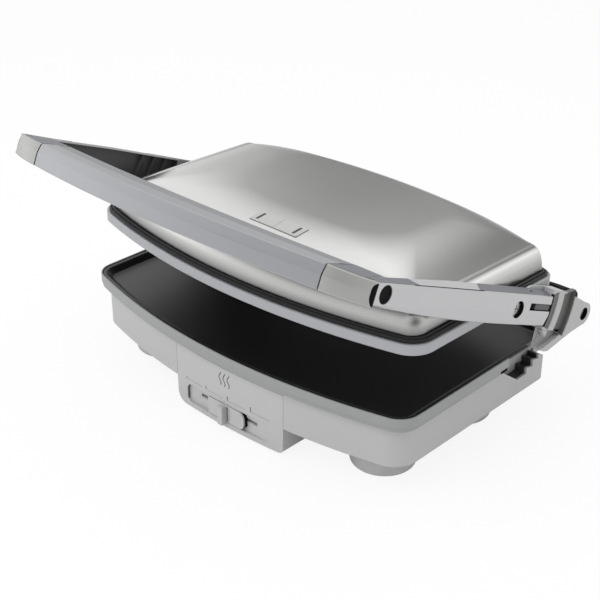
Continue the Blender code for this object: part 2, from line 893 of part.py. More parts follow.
def build_hinge_post(side, letter):
    foot_face = rear_face(post_inner, housing_inset) + gap
    band_face = rear_face(post_inner, 0) + gap
    turn = arc((hinge_y, hinge_z), post_boss_radius, 0, math.pi, 12)
    outline = [
        (foot_face, post_foot),
        (hinge_y, post_foot),
        (hinge_y + post_boss_radius, post_foot + post_rear_slope),
        *turn,
        (band_face, hinge_z - post_boss_radius),
        (band_face, housing_top - gap),
        (foot_face, housing_top - gap),
    ]
    low, high = sorted((side * post_inner, side * post_outer))
    name = f"hinge_post_{letter}"
    thing = place(name, extruded(name, outline, low, high, side_view), "light_plastic", base)
    bore = cylinder("bore", hinge_bore_radius, low - overrun, high + overrun, hinge_y, hinge_z)
    combine(thing, "DIFFERENCE", [bore])
    name = f"hinge_pin_{letter}"
    reach = arm_outer - hinge_hole_depth - gap
    low, high = sorted((side * (post_inner + gap), side * reach))
    pin = place(name, cylinder(name, hinge_pin_radius, low, high, hinge_y, hinge_z), "zinc_steel", base)
    shade(pin)


# Arms: an outer outline and a higher inner one, skinned between
def arm_outline(top):
    """(along, up) points of an arm from its round rear end, along the underside and back along the top."""
    lean_low = math.asin(arm_bottom_rear / arm_end_radius)
    lean_top = math.asin(arm_top / arm_end_radius)
    points = arc((pivot_along, 0), arm_end_radius, math.pi - lean_top, math.pi - lean_low, 6)
    points[0] = (pivot_along - math.sqrt(arm_end_radius**2 - top**2), top)
    span = arm_front - pivot_along
    points += [
        (pivot_along, arm_bottom_rear),
        (pivot_along + span / 2, arm_bottom_middle),
        (arm_front, arm_bottom_front),
        (arm_front, top + (top - arm_top) * arm_end_rise_share),
        (pivot_along + span / 2, top),
    ]
    return points


def arm_place(along, up, x):
    return (x, -along, up)


def build_arm(side, letter):
    outer = [arm_place(a, u, side * arm_outer) for a, u in arm_outline(arm_top)]
    inner = [arm_place(a, u, side * arm_inner) for a, u in arm_outline(arm_crest)]
    thing = place(f"arm_{letter}", loft(f"arm_{letter}", [outer, inner]), "satin_aluminium", arms)
    through = sorted((side * (arm_inner - overrun), side * (arm_outer + overrun)))
    bore = cylinder("bore", pivot_bore_radius, *through, -pivot_along, 0)
    sunk = sorted((side * (arm_outer - pivot_recess - pivot_head_thickness), side * (arm_outer + overrun)))
    counterbore = cylinder("counterbore", pivot_head_radius + 2 * gap, *sunk, -pivot_along, 0)
    plug_sunk = sorted((side * (arm_outer - plug_depth - plug_recess - gap), side * (arm_outer + overrun)))
    plug_hole = cylinder("plug_hole", plug_radius + gap, *plug_sunk, -plug_along, plug_up)
    slot_low, slot_high = sorted((side * (arm_outer - slot_depth), side * (arm_outer + overrun)))
    slot = box(
        "slot",
        (slot_low, -slot_front, slot_bottom_up),
        (slot_high, -pivot_along + arm_end_radius + overrun, slot_bottom_up + slot_rise),
    )
    combine(thing, "DIFFERENCE", [bore, counterbore, plug_hole, slot])


def build_arm_fittings(side, letter):
    head_inner = arm_outer - pivot_recess - pivot_head_thickness + gap
    length = head_inner - (rim_width / 2 - pivot_reach)
    profile = [
        (0, pivot_head_thickness),
        (pivot_head_radius, pivot_head_thickness),
        (pivot_head_radius, 0),
        (pivot_radius, 0),
        (pivot_radius, -length),
        (0, -length),
    ]
    turn = Matrix.Rotation(side * math.pi / 2, 4, "Y")
    location = (side * head_inner, -pivot_along, 0)
    shade(turned(f"arm_pivot_bolt_{letter}", profile, "zinc_steel", arms, location, turn))
    plug_face = arm_outer - plug_recess
    plug_low, plug_high = sorted((side * (plug_face - plug_depth), side * plug_face))
    name = f"arm_plug_{letter}"
    plug = cylinder(name, plug_radius, plug_low, plug_high, -plug_along, plug_up)
    shade(place(name, plug, "black_rubber", arms))
    lock_rear = pivot_along - math.sqrt(rib_inner_radius**2 - slot_rise**2) + gap
    low, high = sorted((side * (arm_outer - slot_depth + gap), side * (arm_outer - lock_recess)))
    name = f"lock_slider_{letter}"
    bar = box(
        name,
        (low, -lock_front, slot_bottom_up + gap),
        (high, -lock_rear, slot_bottom_up + slot_rise - gap),
    )
    place(name, bar, "dark_grey_plastic", arms)


# Handle: a bowed grip in two halves, and a corner piece at each end
def grip_bow_at(x):
    return (grip_half_length**2 - x**2) / (2 * grip_bow_radius)


def grip_stations(section):
    """Rings along the grip. Its back is bowed less than its front."""
    half = grip_half_length
    places = [-half + 2 * half * i / 12 for i in range(13)]
    rings = []
    for x in places:
        bow = grip_bow_at(x)
        rings.append([arm_place(a + bow * bow_share(a), u, x) for a, u in section])
    return rings


def bow_share(along):
    part = (along - grip_back) / (grip_front - grip_back)
    return grip_back_bow_share + (1 - grip_back_bow_share) * part


def build_grip():
    front = [
        (grip_front, grip_bottom),
        (grip_front, grip_middle),
        (grip_top_front, grip_top),
        (grip_split + gap, grip_crown),
        (grip_split + gap, grip_rear_bottom),
    ]
    rear = [
        (grip_split, grip_rear_bottom),
        (grip_split, grip_crown),
        (grip_back, grip_crown),
        (grip_back, grip_rear_bottom + grip_rear_lip),
        (grip_back + grip_rear_lip / 2, grip_rear_bottom),
    ]
    shade(place("handle_grip", loft("handle_grip", grip_stations(front)), "silver_paint", arms))
    shade(place("grip_rear_cover", loft("grip_rear_cover", grip_stations(rear)), "silver_paint", arms))


def build_corner_piece(side, letter):
    """Carries the grip round to the arm: its front face turns back towards the arm's end."""
    start = grip_half_length + grip_joint
    end = arm_outer + corner_bulge
    rings = []
    for share in corner_station_shares:
        x = side * (start + (end - start) * share)
        front = grip_front - corner_front_setback * share**2
        section = [
            (front, grip_bottom + corner_lift * share),
            (front, grip_middle),
            (front - (grip_front - grip_top_front), grip_top),
            (grip_back, grip_crown),
            (grip_back, grip_rear_bottom),
        ]
        rings.append([arm_place(a, u, x) for a, u in section])
    name = f"handle_corner_{letter}"
    thing = place(name, loft(name, rings), "satin_aluminium", arms)
    low, high = sorted((side * (arm_inner - gap), side * (end + overrun)))
    seat = box(
        "seat",
        (low, -arm_front - gap, grip_bottom - overrun),
        (high, -grip_back + overrun, arm_crest + overrun),
    )
    combine(thing, "DIFFERENCE", [seat])


# Hinge brackets behind the arms, with a cheek that runs forward to the pivot bolt
def bracket_outline():
    """(along, up) from the top of the hinge boss, forward over the cheek, round its nose and back under."""
    boss = arc((0, 0), boss_radius, 2 * math.pi - boss_foot_lean, boss_lean, 14)
    cheek_round = arc((pivot_along, 0), boss_radius, cheek_lean, -cheek_lean, 8)
    span = pivot_along - arm_end_radius
    crest = bracket_top - bracket_edge_drop
    rear = bracket_top - bracket_rear_drop
    top_levels = (bracket_shoulder, rear, bracket_top, bracket_top, crest, bracket_shoulder)
    nose_levels = (bracket_nose + bracket_edge_drop, bracket_nose, bracket_nose + bracket_edge_drop / 2)
    under_levels = (-bracket_shoulder, web_top, *nose_levels, web_top - bracket_edge_drop)
    top = [(span * share, level) for share, level in zip(bracket_top_shares, top_levels)]
    under = [(span * share, level) for share, level in zip(bracket_under_shares, under_levels)]
    return boss + top + cheek_round + under


def ring_sector(inner, outer, low, high):
    """Part of a ring about the pivot, facing the hinge."""
    first = arc((pivot_along, 0), outer, low, high, 10)
    return first + arc((pivot_along, 0), inner, high, low, 10)


def build_bracket(side, letter):
    name = f"hinge_bracket_{letter}"

    def along_side(outline, inner, outer, label):
        low, high = sorted((side * inner, side * outer))
        return extruded(label, outline, low, high, arm_view)

    thing = place(name, along_side(bracket_outline(), bracket_inner, arm_outer, name), "light_plastic", arms)
    boss_low, boss_high = sorted((side * boss_inner, side * (bracket_inner + gap)))
    combine(thing, "UNION", [cylinder("boss", boss_radius, boss_low, boss_high, 0, 0)])
    nest_low, nest_high = sorted((side * bracket_cheek, side * (arm_outer + overrun)))
    nest = cylinder("nest", rib_inner_radius, nest_low, nest_high, -pivot_along, 0, steps=3 * round_steps)
    groove = ring_sector(rib_outer_radius, groove_outer_radius, math.pi - groove_lean, math.pi + groove_lean)
    groove_cut = along_side(groove, bracket_web, arm_outer + overrun, "groove")
    span = pivot_along - arm_end_radius
    rear, front, nose, low = [span * share for share in web_shares]
    below = bracket_nose - overrun
    web = [(rear, web_top), (front, web_top), (front, below), (nose, below), (low, bracket_nose + web_lip)]
    web_cut = along_side(web, bracket_web, arm_outer + overrun, "web")
    hollow_cut = along_side(web, bracket_inner - overrun, bracket_web - web_thickness, "hollow")
    through = sorted((side * (boss_inner - overrun), side * (arm_outer + overrun)))
    bore = cylinder("bore", hinge_bore_radius, *through, 0, 0)
    mouth_low, mouth_high = sorted((side * (arm_outer - hinge_hole_depth), side * (arm_outer + overrun)))
    mouth = cylinder("mouth", hinge_hole_radius, mouth_low, mouth_high, 0, 0)
    pivot_low, pivot_high = sorted((side * (bracket_inner - overrun), side * (arm_outer + overrun)))
    pivot_bore = cylinder("pivot_bore", pivot_bore_radius, pivot_low, pivot_high, -pivot_along, 0)
    combine(thing, "DIFFERENCE", [nest, groove_cut, web_cut, hollow_cut, bore, mouth, pivot_bore])


def build_hinge_cover(side, letter):
    """The black piece on the bracket's inner side, over the hinge boss."""
    inner_radius = boss_radius + gap
    under = arc((0, 0), inner_radius, math.radians(150), math.radians(40), 8)
    outline = under + [
        (hinge_cover_front, hinge_cover_low),
        (hinge_cover_front, hinge_cover_top),
        (hinge_cover_front * hinge_cover_saddle_share, hinge_cover_saddle),
        (hinge_cover_front * hinge_cover_hump_share, hinge_cover_top),
        (0, hinge_cover_back),
        (hinge_cover_rear, hinge_cover_tail),
    ]
    low, high = sorted((side * hinge_cover_inner, side * (bracket_inner - gap)))
    name = f"hinge_cover_{letter}"
    place(name, extruded(name, outline, low, high, arm_view), "black_plastic", arms)


# Lid: band, gasket, brushed cover, plate and heater, and the indicator plate
band_top = lid_band_bottom + lid_band_height
gasket_bottom = band_top + gap
cover_foot = gasket_bottom + gasket_ledge + gap


def pivot_cut():
    return [
        cylinder("bore", pivot_bore_radius, low, low + pivot_reach + 2 * gap + overrun, 0, 0)
        for low in (rim_width / 2 - pivot_reach - 2 * gap, -rim_width / 2 - overrun)
    ]


def build_lid_band():
    profile = [
        (rim_edge_round, band_top),
        (0, band_top - rim_edge_round),
        (0, lid_band_bottom + rim_edge_round),
        (rim_edge_round, lid_band_bottom),
        (lid_band_wall, lid_band_bottom),
        (lid_band_wall, band_top),
    ]
    thing = place("lid_rim_band", ring_piece("lid_rim_band", lid_ring, profile), "silver_paint", lid)
    combine(thing, "DIFFERENCE", pivot_cut())
    shade(thing)


def build_gasket():
    top = gasket_bottom + gasket_height
    profile = [
        (gasket_inset, gasket_bottom),
        (gasket_inset, top - rim_edge_round),
        (gasket_inset + gasket_bead_width / 2, top),
        (gasket_inset + gasket_bead_width, top),
        (gasket_inset + gasket_bead_width, gasket_bottom + gasket_ledge),
        (gasket_inset + gasket_width, gasket_bottom + gasket_ledge),
        (gasket_inset + gasket_width, gasket_bottom),
    ]
    thing = place("lid_gasket", ring_piece("lid_gasket", lid_ring, profile), "black_rubber", lid)
    combine(thing, "DIFFERENCE", pivot_cut())
    shade(thing)


def crown_height(inset):
    """Height of the cover's top over its foot, at a distance in from the cover's foot line."""
    if inset <= cover_shoulder:
        part = 1 - inset / cover_shoulder
        return cover_rise * (1 - part**3) ** 0.5
    part = min((inset - cover_shoulder) / cover_crown_run, 1)
    return cover_rise + cover_crown * (1 - (1 - part) ** 2)


def build_lid_cover():
    insets = [cover_shoulder * share for share in shoulder_shares]
    insets += [cover_shoulder + cover_crown_run * share for share in crown_shares]
    outer = [(cover_inset + inset, crown_height(inset)) for inset in insets]
    inner = [(inset + cover_sheet, height - cover_sheet_drop) for inset, height in outer[1:]]
    foot = (cover_inset + cover_sheet, 0)
    profile = list(reversed(outer)) + [foot] + inner
    thing = place("lid_cover", solid_piece("lid_cover", cover_ring, profile), "brushed_steel", lid)
    combine(thing, "DIFFERENCE", [indicator_window()])
    shade(thing)


def cover_level(y):
    """Height of the cover's top on its middle line, at a place from front to rear."""
    return cover_foot + crown_height(y - lid_front - cover_inset) * cover_fall(y)


def cover_slab(name, x, y, length, width, under, over):
    """A slab that follows the slope of the cover, from one height over its top to another."""
    corners = [(-1, -1), (1, -1), (1, 1), (-1, 1)]
    places = [(x + a * length / 2, y + b * width / 2) for a, b in corners]
    return loft(name, [[(px, py, cover_level(py) + level) for px, py in places] for level in (under, over)])


def indicator_window():
    length = indicator_length + 2 * gap
    width = indicator_width + 2 * gap
    return cover_slab("window", indicator_x, indicator_y, length, width, -cover_rise, overrun)


def build_indicator():
    bottom = indicator_proud - indicator_thickness
    mesh = cover_slab(
        "indicator_plate", indicator_x, indicator_y, indicator_length, indicator_width,
        bottom, indicator_proud,
    )
    thing = place("indicator_plate", mesh, "brushed_steel", lid)
    windows = []
    for side, label in ((-1, "power"), (1, "ready")):
        middle = indicator_x + side * light_spacing / 2
        size = (light_width + 2 * gap, light_length + 2 * gap)
        windows.append(cover_slab("window", middle, indicator_y, *size, bottom - overrun, overrun))
        name = f"{label}_light"
        top = indicator_proud - light_recess
        lens = cover_slab(name, middle, indicator_y, light_width, light_length, bottom, top)
        place(name, lens, "clear_lens", lid)
    combine(thing, "DIFFERENCE", windows)


def build_upper_plate():
    edge = lid_band_wall + gap
    profile = [
        (edge, upper_plate_top),
        (edge, upper_plate_shoulder),
        (edge + upper_plate_step, upper_plate_shoulder),
        (edge + upper_plate_step + upper_plate_draft, upper_plate_bottom),
    ]
    thing = place("upper_plate", solid_piece("upper_plate", lid_ring, profile), "non_stick", lid)
    shade(thing)


def build_upper_heating():
    topside = upper_plate_top + gap
    lid_element_front = lid_front + element_front
    lid_element_rear = lid_rear - (rim_depth - element_rear)
    bent_element("upper_heating_element", topside + element_radius, lid_element_front, lid_element_rear, lid)
    tray("upper_reflector", lid_ring, topside, reflector_depth, "zinc_steel", lid)


build_housing()
build_rim_band()
build_lower_plate()
build_lower_heating()
build_bottom_cover()
build_control_panel()
build_temperature_slider()
build_thermostat()
build_cord_inlet()
for row, foot_y in (("front", foot_front), ("rear", foot_rear)):
    for foot_sign, hand in ((-1, "left"), (1, "right")):
        build_foot(foot_sign * foot_side, foot_y, f"{row}_{hand}")
for sign, hand in ((-1, "left"), (1, "right")):
    build_rack(sign, hand)
    build_hinge_post(sign, hand)
    build_arm(sign, hand)
    build_arm_fittings(sign, hand)
    build_corner_piece(sign, hand)
    build_bracket(sign, hand)
    build_hinge_cover(sign, hand)
build_grip()
build_lid_band()
build_gasket()
build_lid_cover()
build_indicator()
build_upper_plate()
build_upper_heating()
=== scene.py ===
# Looks for the contact press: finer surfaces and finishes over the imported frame.
import math

import bmesh
import bpy
import numpy as np
from mathutils import Matrix


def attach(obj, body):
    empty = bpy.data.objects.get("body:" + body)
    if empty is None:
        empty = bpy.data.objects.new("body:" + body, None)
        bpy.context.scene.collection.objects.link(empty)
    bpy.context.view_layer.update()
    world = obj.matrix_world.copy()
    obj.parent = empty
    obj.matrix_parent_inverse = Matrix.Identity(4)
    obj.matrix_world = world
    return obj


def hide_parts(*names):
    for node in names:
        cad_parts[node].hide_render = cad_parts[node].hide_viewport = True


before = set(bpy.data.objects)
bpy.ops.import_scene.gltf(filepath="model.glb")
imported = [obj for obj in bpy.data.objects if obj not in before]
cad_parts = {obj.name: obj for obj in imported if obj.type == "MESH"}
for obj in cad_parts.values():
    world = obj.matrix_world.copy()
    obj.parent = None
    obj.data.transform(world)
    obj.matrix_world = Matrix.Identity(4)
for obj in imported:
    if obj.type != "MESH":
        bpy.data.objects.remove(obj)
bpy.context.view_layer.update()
print("frame loaded", len(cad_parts), "nodes")

# Frames of the press: the base, the arms about the rear hinge, the lid about the pivot bolts
layout = {
    "baseShift": -0.091684,
    "baseHeight": 0.0725,
    "hinge": (0.0, 0.2336, 0.0115),
    "armPitch": math.radians(23.5),
    "pivotAlong": 0.1052,
    "lidTilt": math.radians(1.1),
    "clearance": 0.0003,
}


def turnAboutX(angle):
    # A turn about x: y and z mixed by the angle's cosine and sine.
    c, s = math.cos(angle), math.sin(angle)
    return np.array([[1, 0, 0], [0, c, -s], [0, s, c]])


def placeOf(turn, origin):
    # A turn and an origin as one 4 by 4 place.
    place = np.eye(4)
    place[:3, :3] = turn
    place[:3, 3] = origin
    return place


basePlace = placeOf(np.eye(3), (0, layout["baseShift"], layout["baseHeight"]))
armPlace = basePlace @ placeOf(turnAboutX(-layout["armPitch"]), layout["hinge"])
lidTurn = turnAboutX(layout["armPitch"] - layout["lidTilt"])
lidPlace = armPlace @ placeOf(lidTurn, (0, -layout["pivotAlong"], 0))
sides = ((-1, "left"), (1, "right"))


def toWorld(points, place):
    # Each point turned, then shifted.
    return np.asarray(points, float) @ place[:3, :3].T + place[:3, 3]


# Mesh building from arrays
def gridFaces(rows, columns, wrapRows=False, wrapColumns=False):
    # Quads of a grid of rows by columns, joined end to end where asked.
    r = np.arange(rows if wrapRows else rows - 1)[:, None]
    c = np.arange(columns if wrapColumns else columns - 1)[None, :]
    r2, c2 = (r + 1) % rows, (c + 1) % columns
    quads = np.stack([r * columns + c, r * columns + c2, r2 * columns + c2, r2 * columns + c], axis=-1)
    return quads.reshape(-1, 4)


def meshOf(name, points, quads, caps=()):
    # A mesh from points, quads and n-sided caps, turned so that its faces point out.
    mesh = bpy.data.meshes.new(name)
    faces = [list(face) for face in quads.tolist()] + [list(map(int, cap)) for cap in caps]
    mesh.from_pydata(np.asarray(points, float).reshape(-1, 3).tolist(), [], faces)
    mesh.validate()
    mesh.calc_loop_triangles()
    corners = np.empty(len(mesh.loop_triangles) * 3, np.int32)
    mesh.loop_triangles.foreach_get("vertices", corners)
    co = np.empty(len(mesh.vertices) * 3)
    mesh.vertices.foreach_get("co", co)
    co = co.reshape(-1, 3)
    co = co - co.mean(axis=0)
    if np.linalg.det(co[corners.reshape(-1, 3)]).sum() < 0:
        mesh.flip_normals()
    return mesh


def softCorners(points, radius, steps=4, closed=True):
    # Rounds a polyline's corners. Each corner P becomes a curve between points A and B on its two
    # sides: (1-s)^2 A + 2s(1-s) P + s^2 B.
    p = np.asarray(points, float)
    before, after = np.roll(p, 1, axis=0), np.roll(p, -1, axis=0)
    toBefore, toAfter = before - p, after - p
    lengthBefore = np.linalg.norm(toBefore, axis=1, keepdims=True)
    lengthAfter = np.linalg.norm(toAfter, axis=1, keepdims=True)
    radii = np.broadcast_to(np.asarray(radius, float), len(p))[:, None]
    reach = np.minimum(radii, 0.45 * np.minimum(lengthBefore, lengthAfter))
    start = p + toBefore / lengthBefore * reach
    end = p + toAfter / lengthAfter * reach
    s = np.linspace(0, 1, steps + 1)[None, :, None]
    curve = (1 - s) ** 2 * start[:, None] + 2 * s * (1 - s) * p[:, None] + s**2 * end[:, None]
    if closed:
        return curve.reshape(-1, p.shape[1])
    return np.concatenate([p[:1], curve[1:-1].reshape(-1, p.shape[1]), p[-1:]])


def pressOutline(shape, inset, steps=22):
    # Bowed front, straight sides and round corners: four arcs for the right half, mirrored for the
    # left, drawn in by each inset. Gives x and y, one row for each inset.
    inset = np.asarray(inset, float).reshape(-1, 1)
    side = shape["halfWidth"] - inset
    near = shape["front"] + inset
    far = shape["rear"] - inset * shape.get("rearShare", 1) + shape.get("rearOffset", 0)
    nearRadius, farRadius = shape["frontRadius"] - inset, shape["rearRadius"] - inset
    growth = shape.get("cornerGrowth", 0) * np.maximum(inset - shape.get("growFrom", 0), 0)
    nearCorner = np.maximum(shape["frontCorner"] - inset, shape["frontCorner"] * 0.35) + growth
    farCorner = np.maximum(shape["rearCorner"] - inset, shape["rearCorner"] * 0.35) + growth
    nearLean = np.arcsin((side - nearCorner) / (nearRadius - nearCorner))
    farLean = np.arcsin((side - farCorner) / (farRadius - farCorner))
    nearCentre = near + nearRadius - (nearRadius - nearCorner) * np.cos(nearLean)
    farCentre = far - farRadius + (farRadius - farCorner) * np.cos(farLean)
    down, up = -math.pi / 2, math.pi / 2
    bow, turn = np.linspace(0, 1, steps)[None], np.linspace(0, 1, steps // 2)[None]
    a = down + nearLean * bow
    b = down + nearLean + (-down - nearLean) * turn
    c = (up - farLean) * turn
    d = up - farLean + farLean * bow
    x = [nearRadius * np.cos(a), side - nearCorner + nearCorner * np.cos(b)]
    y = [near + nearRadius + nearRadius * np.sin(a), nearCentre + nearCorner * np.sin(b)]
    x += [side - farCorner + farCorner * np.cos(c), farRadius * np.cos(d)]
    y += [farCentre + farCorner * np.sin(c), far - farRadius + farRadius * np.sin(d)]
    x = np.concatenate([x[0], x[1][:, 1:], x[2], x[3][:, 1:]], axis=1)
    y = np.concatenate([y[0], y[1][:, 1:], y[2], y[3][:, 1:]], axis=1)
    x = np.concatenate([x, -x[:, -2:0:-1]], axis=1)
    y = np.concatenate([y, y[:, -2:0:-1]], axis=1)
    return x, y


def endCaps(rows, count):
    # The first and last rows of a grid as two n-sided faces.
    return [np.arange(count)[::-1], (rows - 1) * count + np.arange(count)]


def skinOf(name, points):
    # A skin over rows of points, each row a closed ring, with both ends capped.
    rows, count = points.shape[:2]
    return meshOf(name, points, gridFaces(rows, count, False, True), endCaps(rows, count))


def stripOf(name, rows, place):
    # Four long edges joined round, with a face at each end.
    count = rows.shape[1]
    caps = [np.arange(4) * count, (np.arange(4) * count + count - 1)[::-1]]
    return meshOf(name, toWorld(rows, place), gridFaces(4, count, True, False), caps)


def sweptRing(name, shape, profile, place, closed=True, steps=22, lift=None):
    # A profile of inset and height carried round the press's outline. An open profile is capped at
    # both ends.
    profile = np.asarray(profile, float)
    x, y = pressOutline(shape, profile[:, 0], steps)
    z = np.broadcast_to(profile[:, 1:], x.shape)
    if lift is not None:
        z = lift(y, z)
    points = toWorld(np.stack([x, y, z], axis=-1), place)
    count = x.shape[1]
    caps = [] if closed else endCaps(len(profile), count)
    return meshOf(name, points, gridFaces(len(profile), count, closed, True), caps)


def extrudedShape(name, outline, low, high, toPoint, place):
    # A flat outline carried from low to high; toPoint turns outline and height into a place.
    outline = np.asarray(outline, float)
    a, b = outline[:, 0], outline[:, 1]
    rows = [toPoint(a, b, np.full(len(a), level)) for level in (low, high)]
    return skinOf(name, toWorld(np.stack(rows), place))


def alongX(a, b, h):
    # Outline in y and z, height in x.
    return np.stack([h, a, b], axis=-1)


def alongY(a, b, h):
    # Outline in x and z, height in y.
    return np.stack([a, h, b], axis=-1)


def roundedRectangle(left, bottom, right, top, radii, steps=8):
    # Four corner arcs, anticlockwise from the lower left, joined by straight sides.
    r = np.asarray(radii, float)
    cx = np.array([left + r[0], right - r[1], right - r[2], left + r[3]])[:, None]
    cy = np.array([bottom + r[0], bottom + r[1], top - r[2], top - r[3]])[:, None]
    angle = (math.pi + np.arange(4) * math.pi / 2)[:, None] + np.linspace(0, math.pi / 2, steps + 1)[None]
    x, y = cx + r[:, None] * np.cos(angle), cy + r[:, None] * np.sin(angle)
    return np.stack([x, y], axis=-1).reshape(-1, 2)


onAxisRadius = 1e-7


def turnedShape(name, profile, place, steps=72):
    # Radius and height pairs turned about the place's own z axis. A profile that starts on the axis
    # is closed by a flat face at each end, any other by joining its ends.
    profile = np.asarray(profile, float)
    inner = profile[profile[:, 0] > onAxisRadius]
    angle = np.linspace(0, 2 * math.pi, steps, endpoint=False)[None]
    x, y = inner[:, :1] * np.cos(angle), inner[:, :1] * np.sin(angle)
    z = np.broadcast_to(inner[:, 1:], x.shape)
    points = toWorld(np.stack([x, y, z], axis=-1), place)
    onAxis = profile[0, 0] <= onAxisRadius
    caps = endCaps(len(inner), steps) if onAxis else []
    return meshOf(name, points, gridFaces(len(inner), steps, not onAxis, True), caps)


def boxShape(name, low, high, place):
    # A cutter or plain block between two corners.
    outline = roundedRectangle(low[0], low[2], high[0], high[2], (0, 0, 0, 0), 0)
    return extrudedShape(name, outline, low[1], high[1], alongY, place)


def drumShape(name, radius, low, high, place, steps=64):
    # A round cutter of one radius between two heights.
    return turnedShape(name, [(0, low), (radius, low), (radius, high), (0, high)], place, steps)


def spanOf(side, a, b):
    # Two distances from the middle as a low and a high x on the given side.
    return sorted((side * a, side * b))


def facingSide(side):
    # A turn whose own z axis points outwards on the given side.
    return np.array([[0, 0, side], [0, 1, 0], [-side, 0, 0]], float)


facingRear = np.array([[1, 0, 0], [0, 0, 1], [0, -1, 0]], float)  # its own z axis points to the rear


# Shader node groups shared by the finishes
def socketGroup(name, inputs, outputs):
    # An empty node group with its sockets, and the nodes that hold its inputs and outputs.
    group = bpy.data.node_groups.new(name, "ShaderNodeTree")
    for label, kind, value in inputs:
        socket = group.interface.new_socket(label, in_out="INPUT", socket_type=kind)
        if value is not None:
            socket.default_value = value
    for label, kind in outputs:
        group.interface.new_socket(label, in_out="OUTPUT", socket_type=kind)
    return group, group.nodes.new("NodeGroupInput"), group.nodes.new("NodeGroupOutput")


def stretchedNoise(group, source, scaleX, scaleYZ, detail):
    # Noise on Object coordinates, drawn out along x where scaleX is the smaller.
    coordinates = group.nodes.new("ShaderNodeTexCoord")
    mapping = group.nodes.new("ShaderNodeMapping")
    combine = group.nodes.new("ShaderNodeCombineXYZ")
    group.links.new(source.outputs[scaleX], combine.inputs[0])
    group.links.new(source.outputs[scaleYZ], combine.inputs[1])
    group.links.new(source.outputs[scaleYZ], combine.inputs[2])
    group.links.new(coordinates.outputs["Object"], mapping.inputs["Vector"])
    group.links.new(combine.outputs[0], mapping.inputs["Scale"])
    noise = group.nodes.new("ShaderNodeTexNoise")
    noise.inputs["Scale"].default_value = 1
    noise.inputs["Detail"].default_value = detail
    group.links.new(mapping.outputs[0], noise.inputs["Vector"])
    return noise


def makeGrainGroup():
    # Two layers of noise, six parts fine grain along one direction to four parts broad patches. Tone
    # and roughness swing about their own values by the noise less a half.
    inputs = [
        ("Grain Along", "NodeSocketFloat", 40.0),
        ("Grain Across", "NodeSocketFloat", 2600.0),
        ("Patch Along", "NodeSocketFloat", 9.0),
        ("Patch Across", "NodeSocketFloat", 9.0),
        ("Tone", "NodeSocketColor", (0.5, 0.5, 0.5, 1)),
        ("Tone Swing", "NodeSocketFloat", 0.06),
        ("Gloss", "NodeSocketFloat", 0.3),
        ("Gloss Swing", "NodeSocketFloat", 0.1),
    ]
    group, source, sink = socketGroup(
        "grainAndPatches",
        inputs,
        [("Colour", "NodeSocketColor"), ("Roughness", "NodeSocketFloat"), ("Height", "NodeSocketFloat")],
    )
    grain = stretchedNoise(group, source, "Grain Along", "Grain Across", 3)
    patch = stretchedNoise(group, source, "Patch Along", "Patch Across", 2)

    def math2(operation, a, b):
        # One math node: numbers are set, sockets are linked.
        node = group.nodes.new("ShaderNodeMath")
        node.operation = operation
        for socket, value in zip(node.inputs, (a, b)):
            if isinstance(value, (int, float)):
                socket.default_value = value
            else:
                group.links.new(value, socket)
        return node.outputs[0]

    fine = math2("MULTIPLY", grain.outputs["Fac"], 0.6)
    blend = math2("ADD", fine, math2("MULTIPLY", patch.outputs["Fac"], 0.4))
    centred = math2("SUBTRACT", blend, 0.5)
    lift = math2("ADD", math2("MULTIPLY", centred, source.outputs["Tone Swing"]), 1.0)
    scaled = group.nodes.new("ShaderNodeVectorMath")
    scaled.operation = "SCALE"
    group.links.new(source.outputs["Tone"], scaled.inputs[0])
    group.links.new(lift, scaled.inputs["Scale"])
    rough = math2("ADD", math2("MULTIPLY", centred, source.outputs["Gloss Swing"]), source.outputs["Gloss"])
    group.links.new(scaled.outputs[0], sink.inputs["Colour"])
    group.links.new(rough, sink.inputs["Roughness"])
    group.links.new(grain.outputs["Fac"], sink.inputs["Height"])
    return group


grainGroup = makeGrainGroup()
print("shared grain group made")

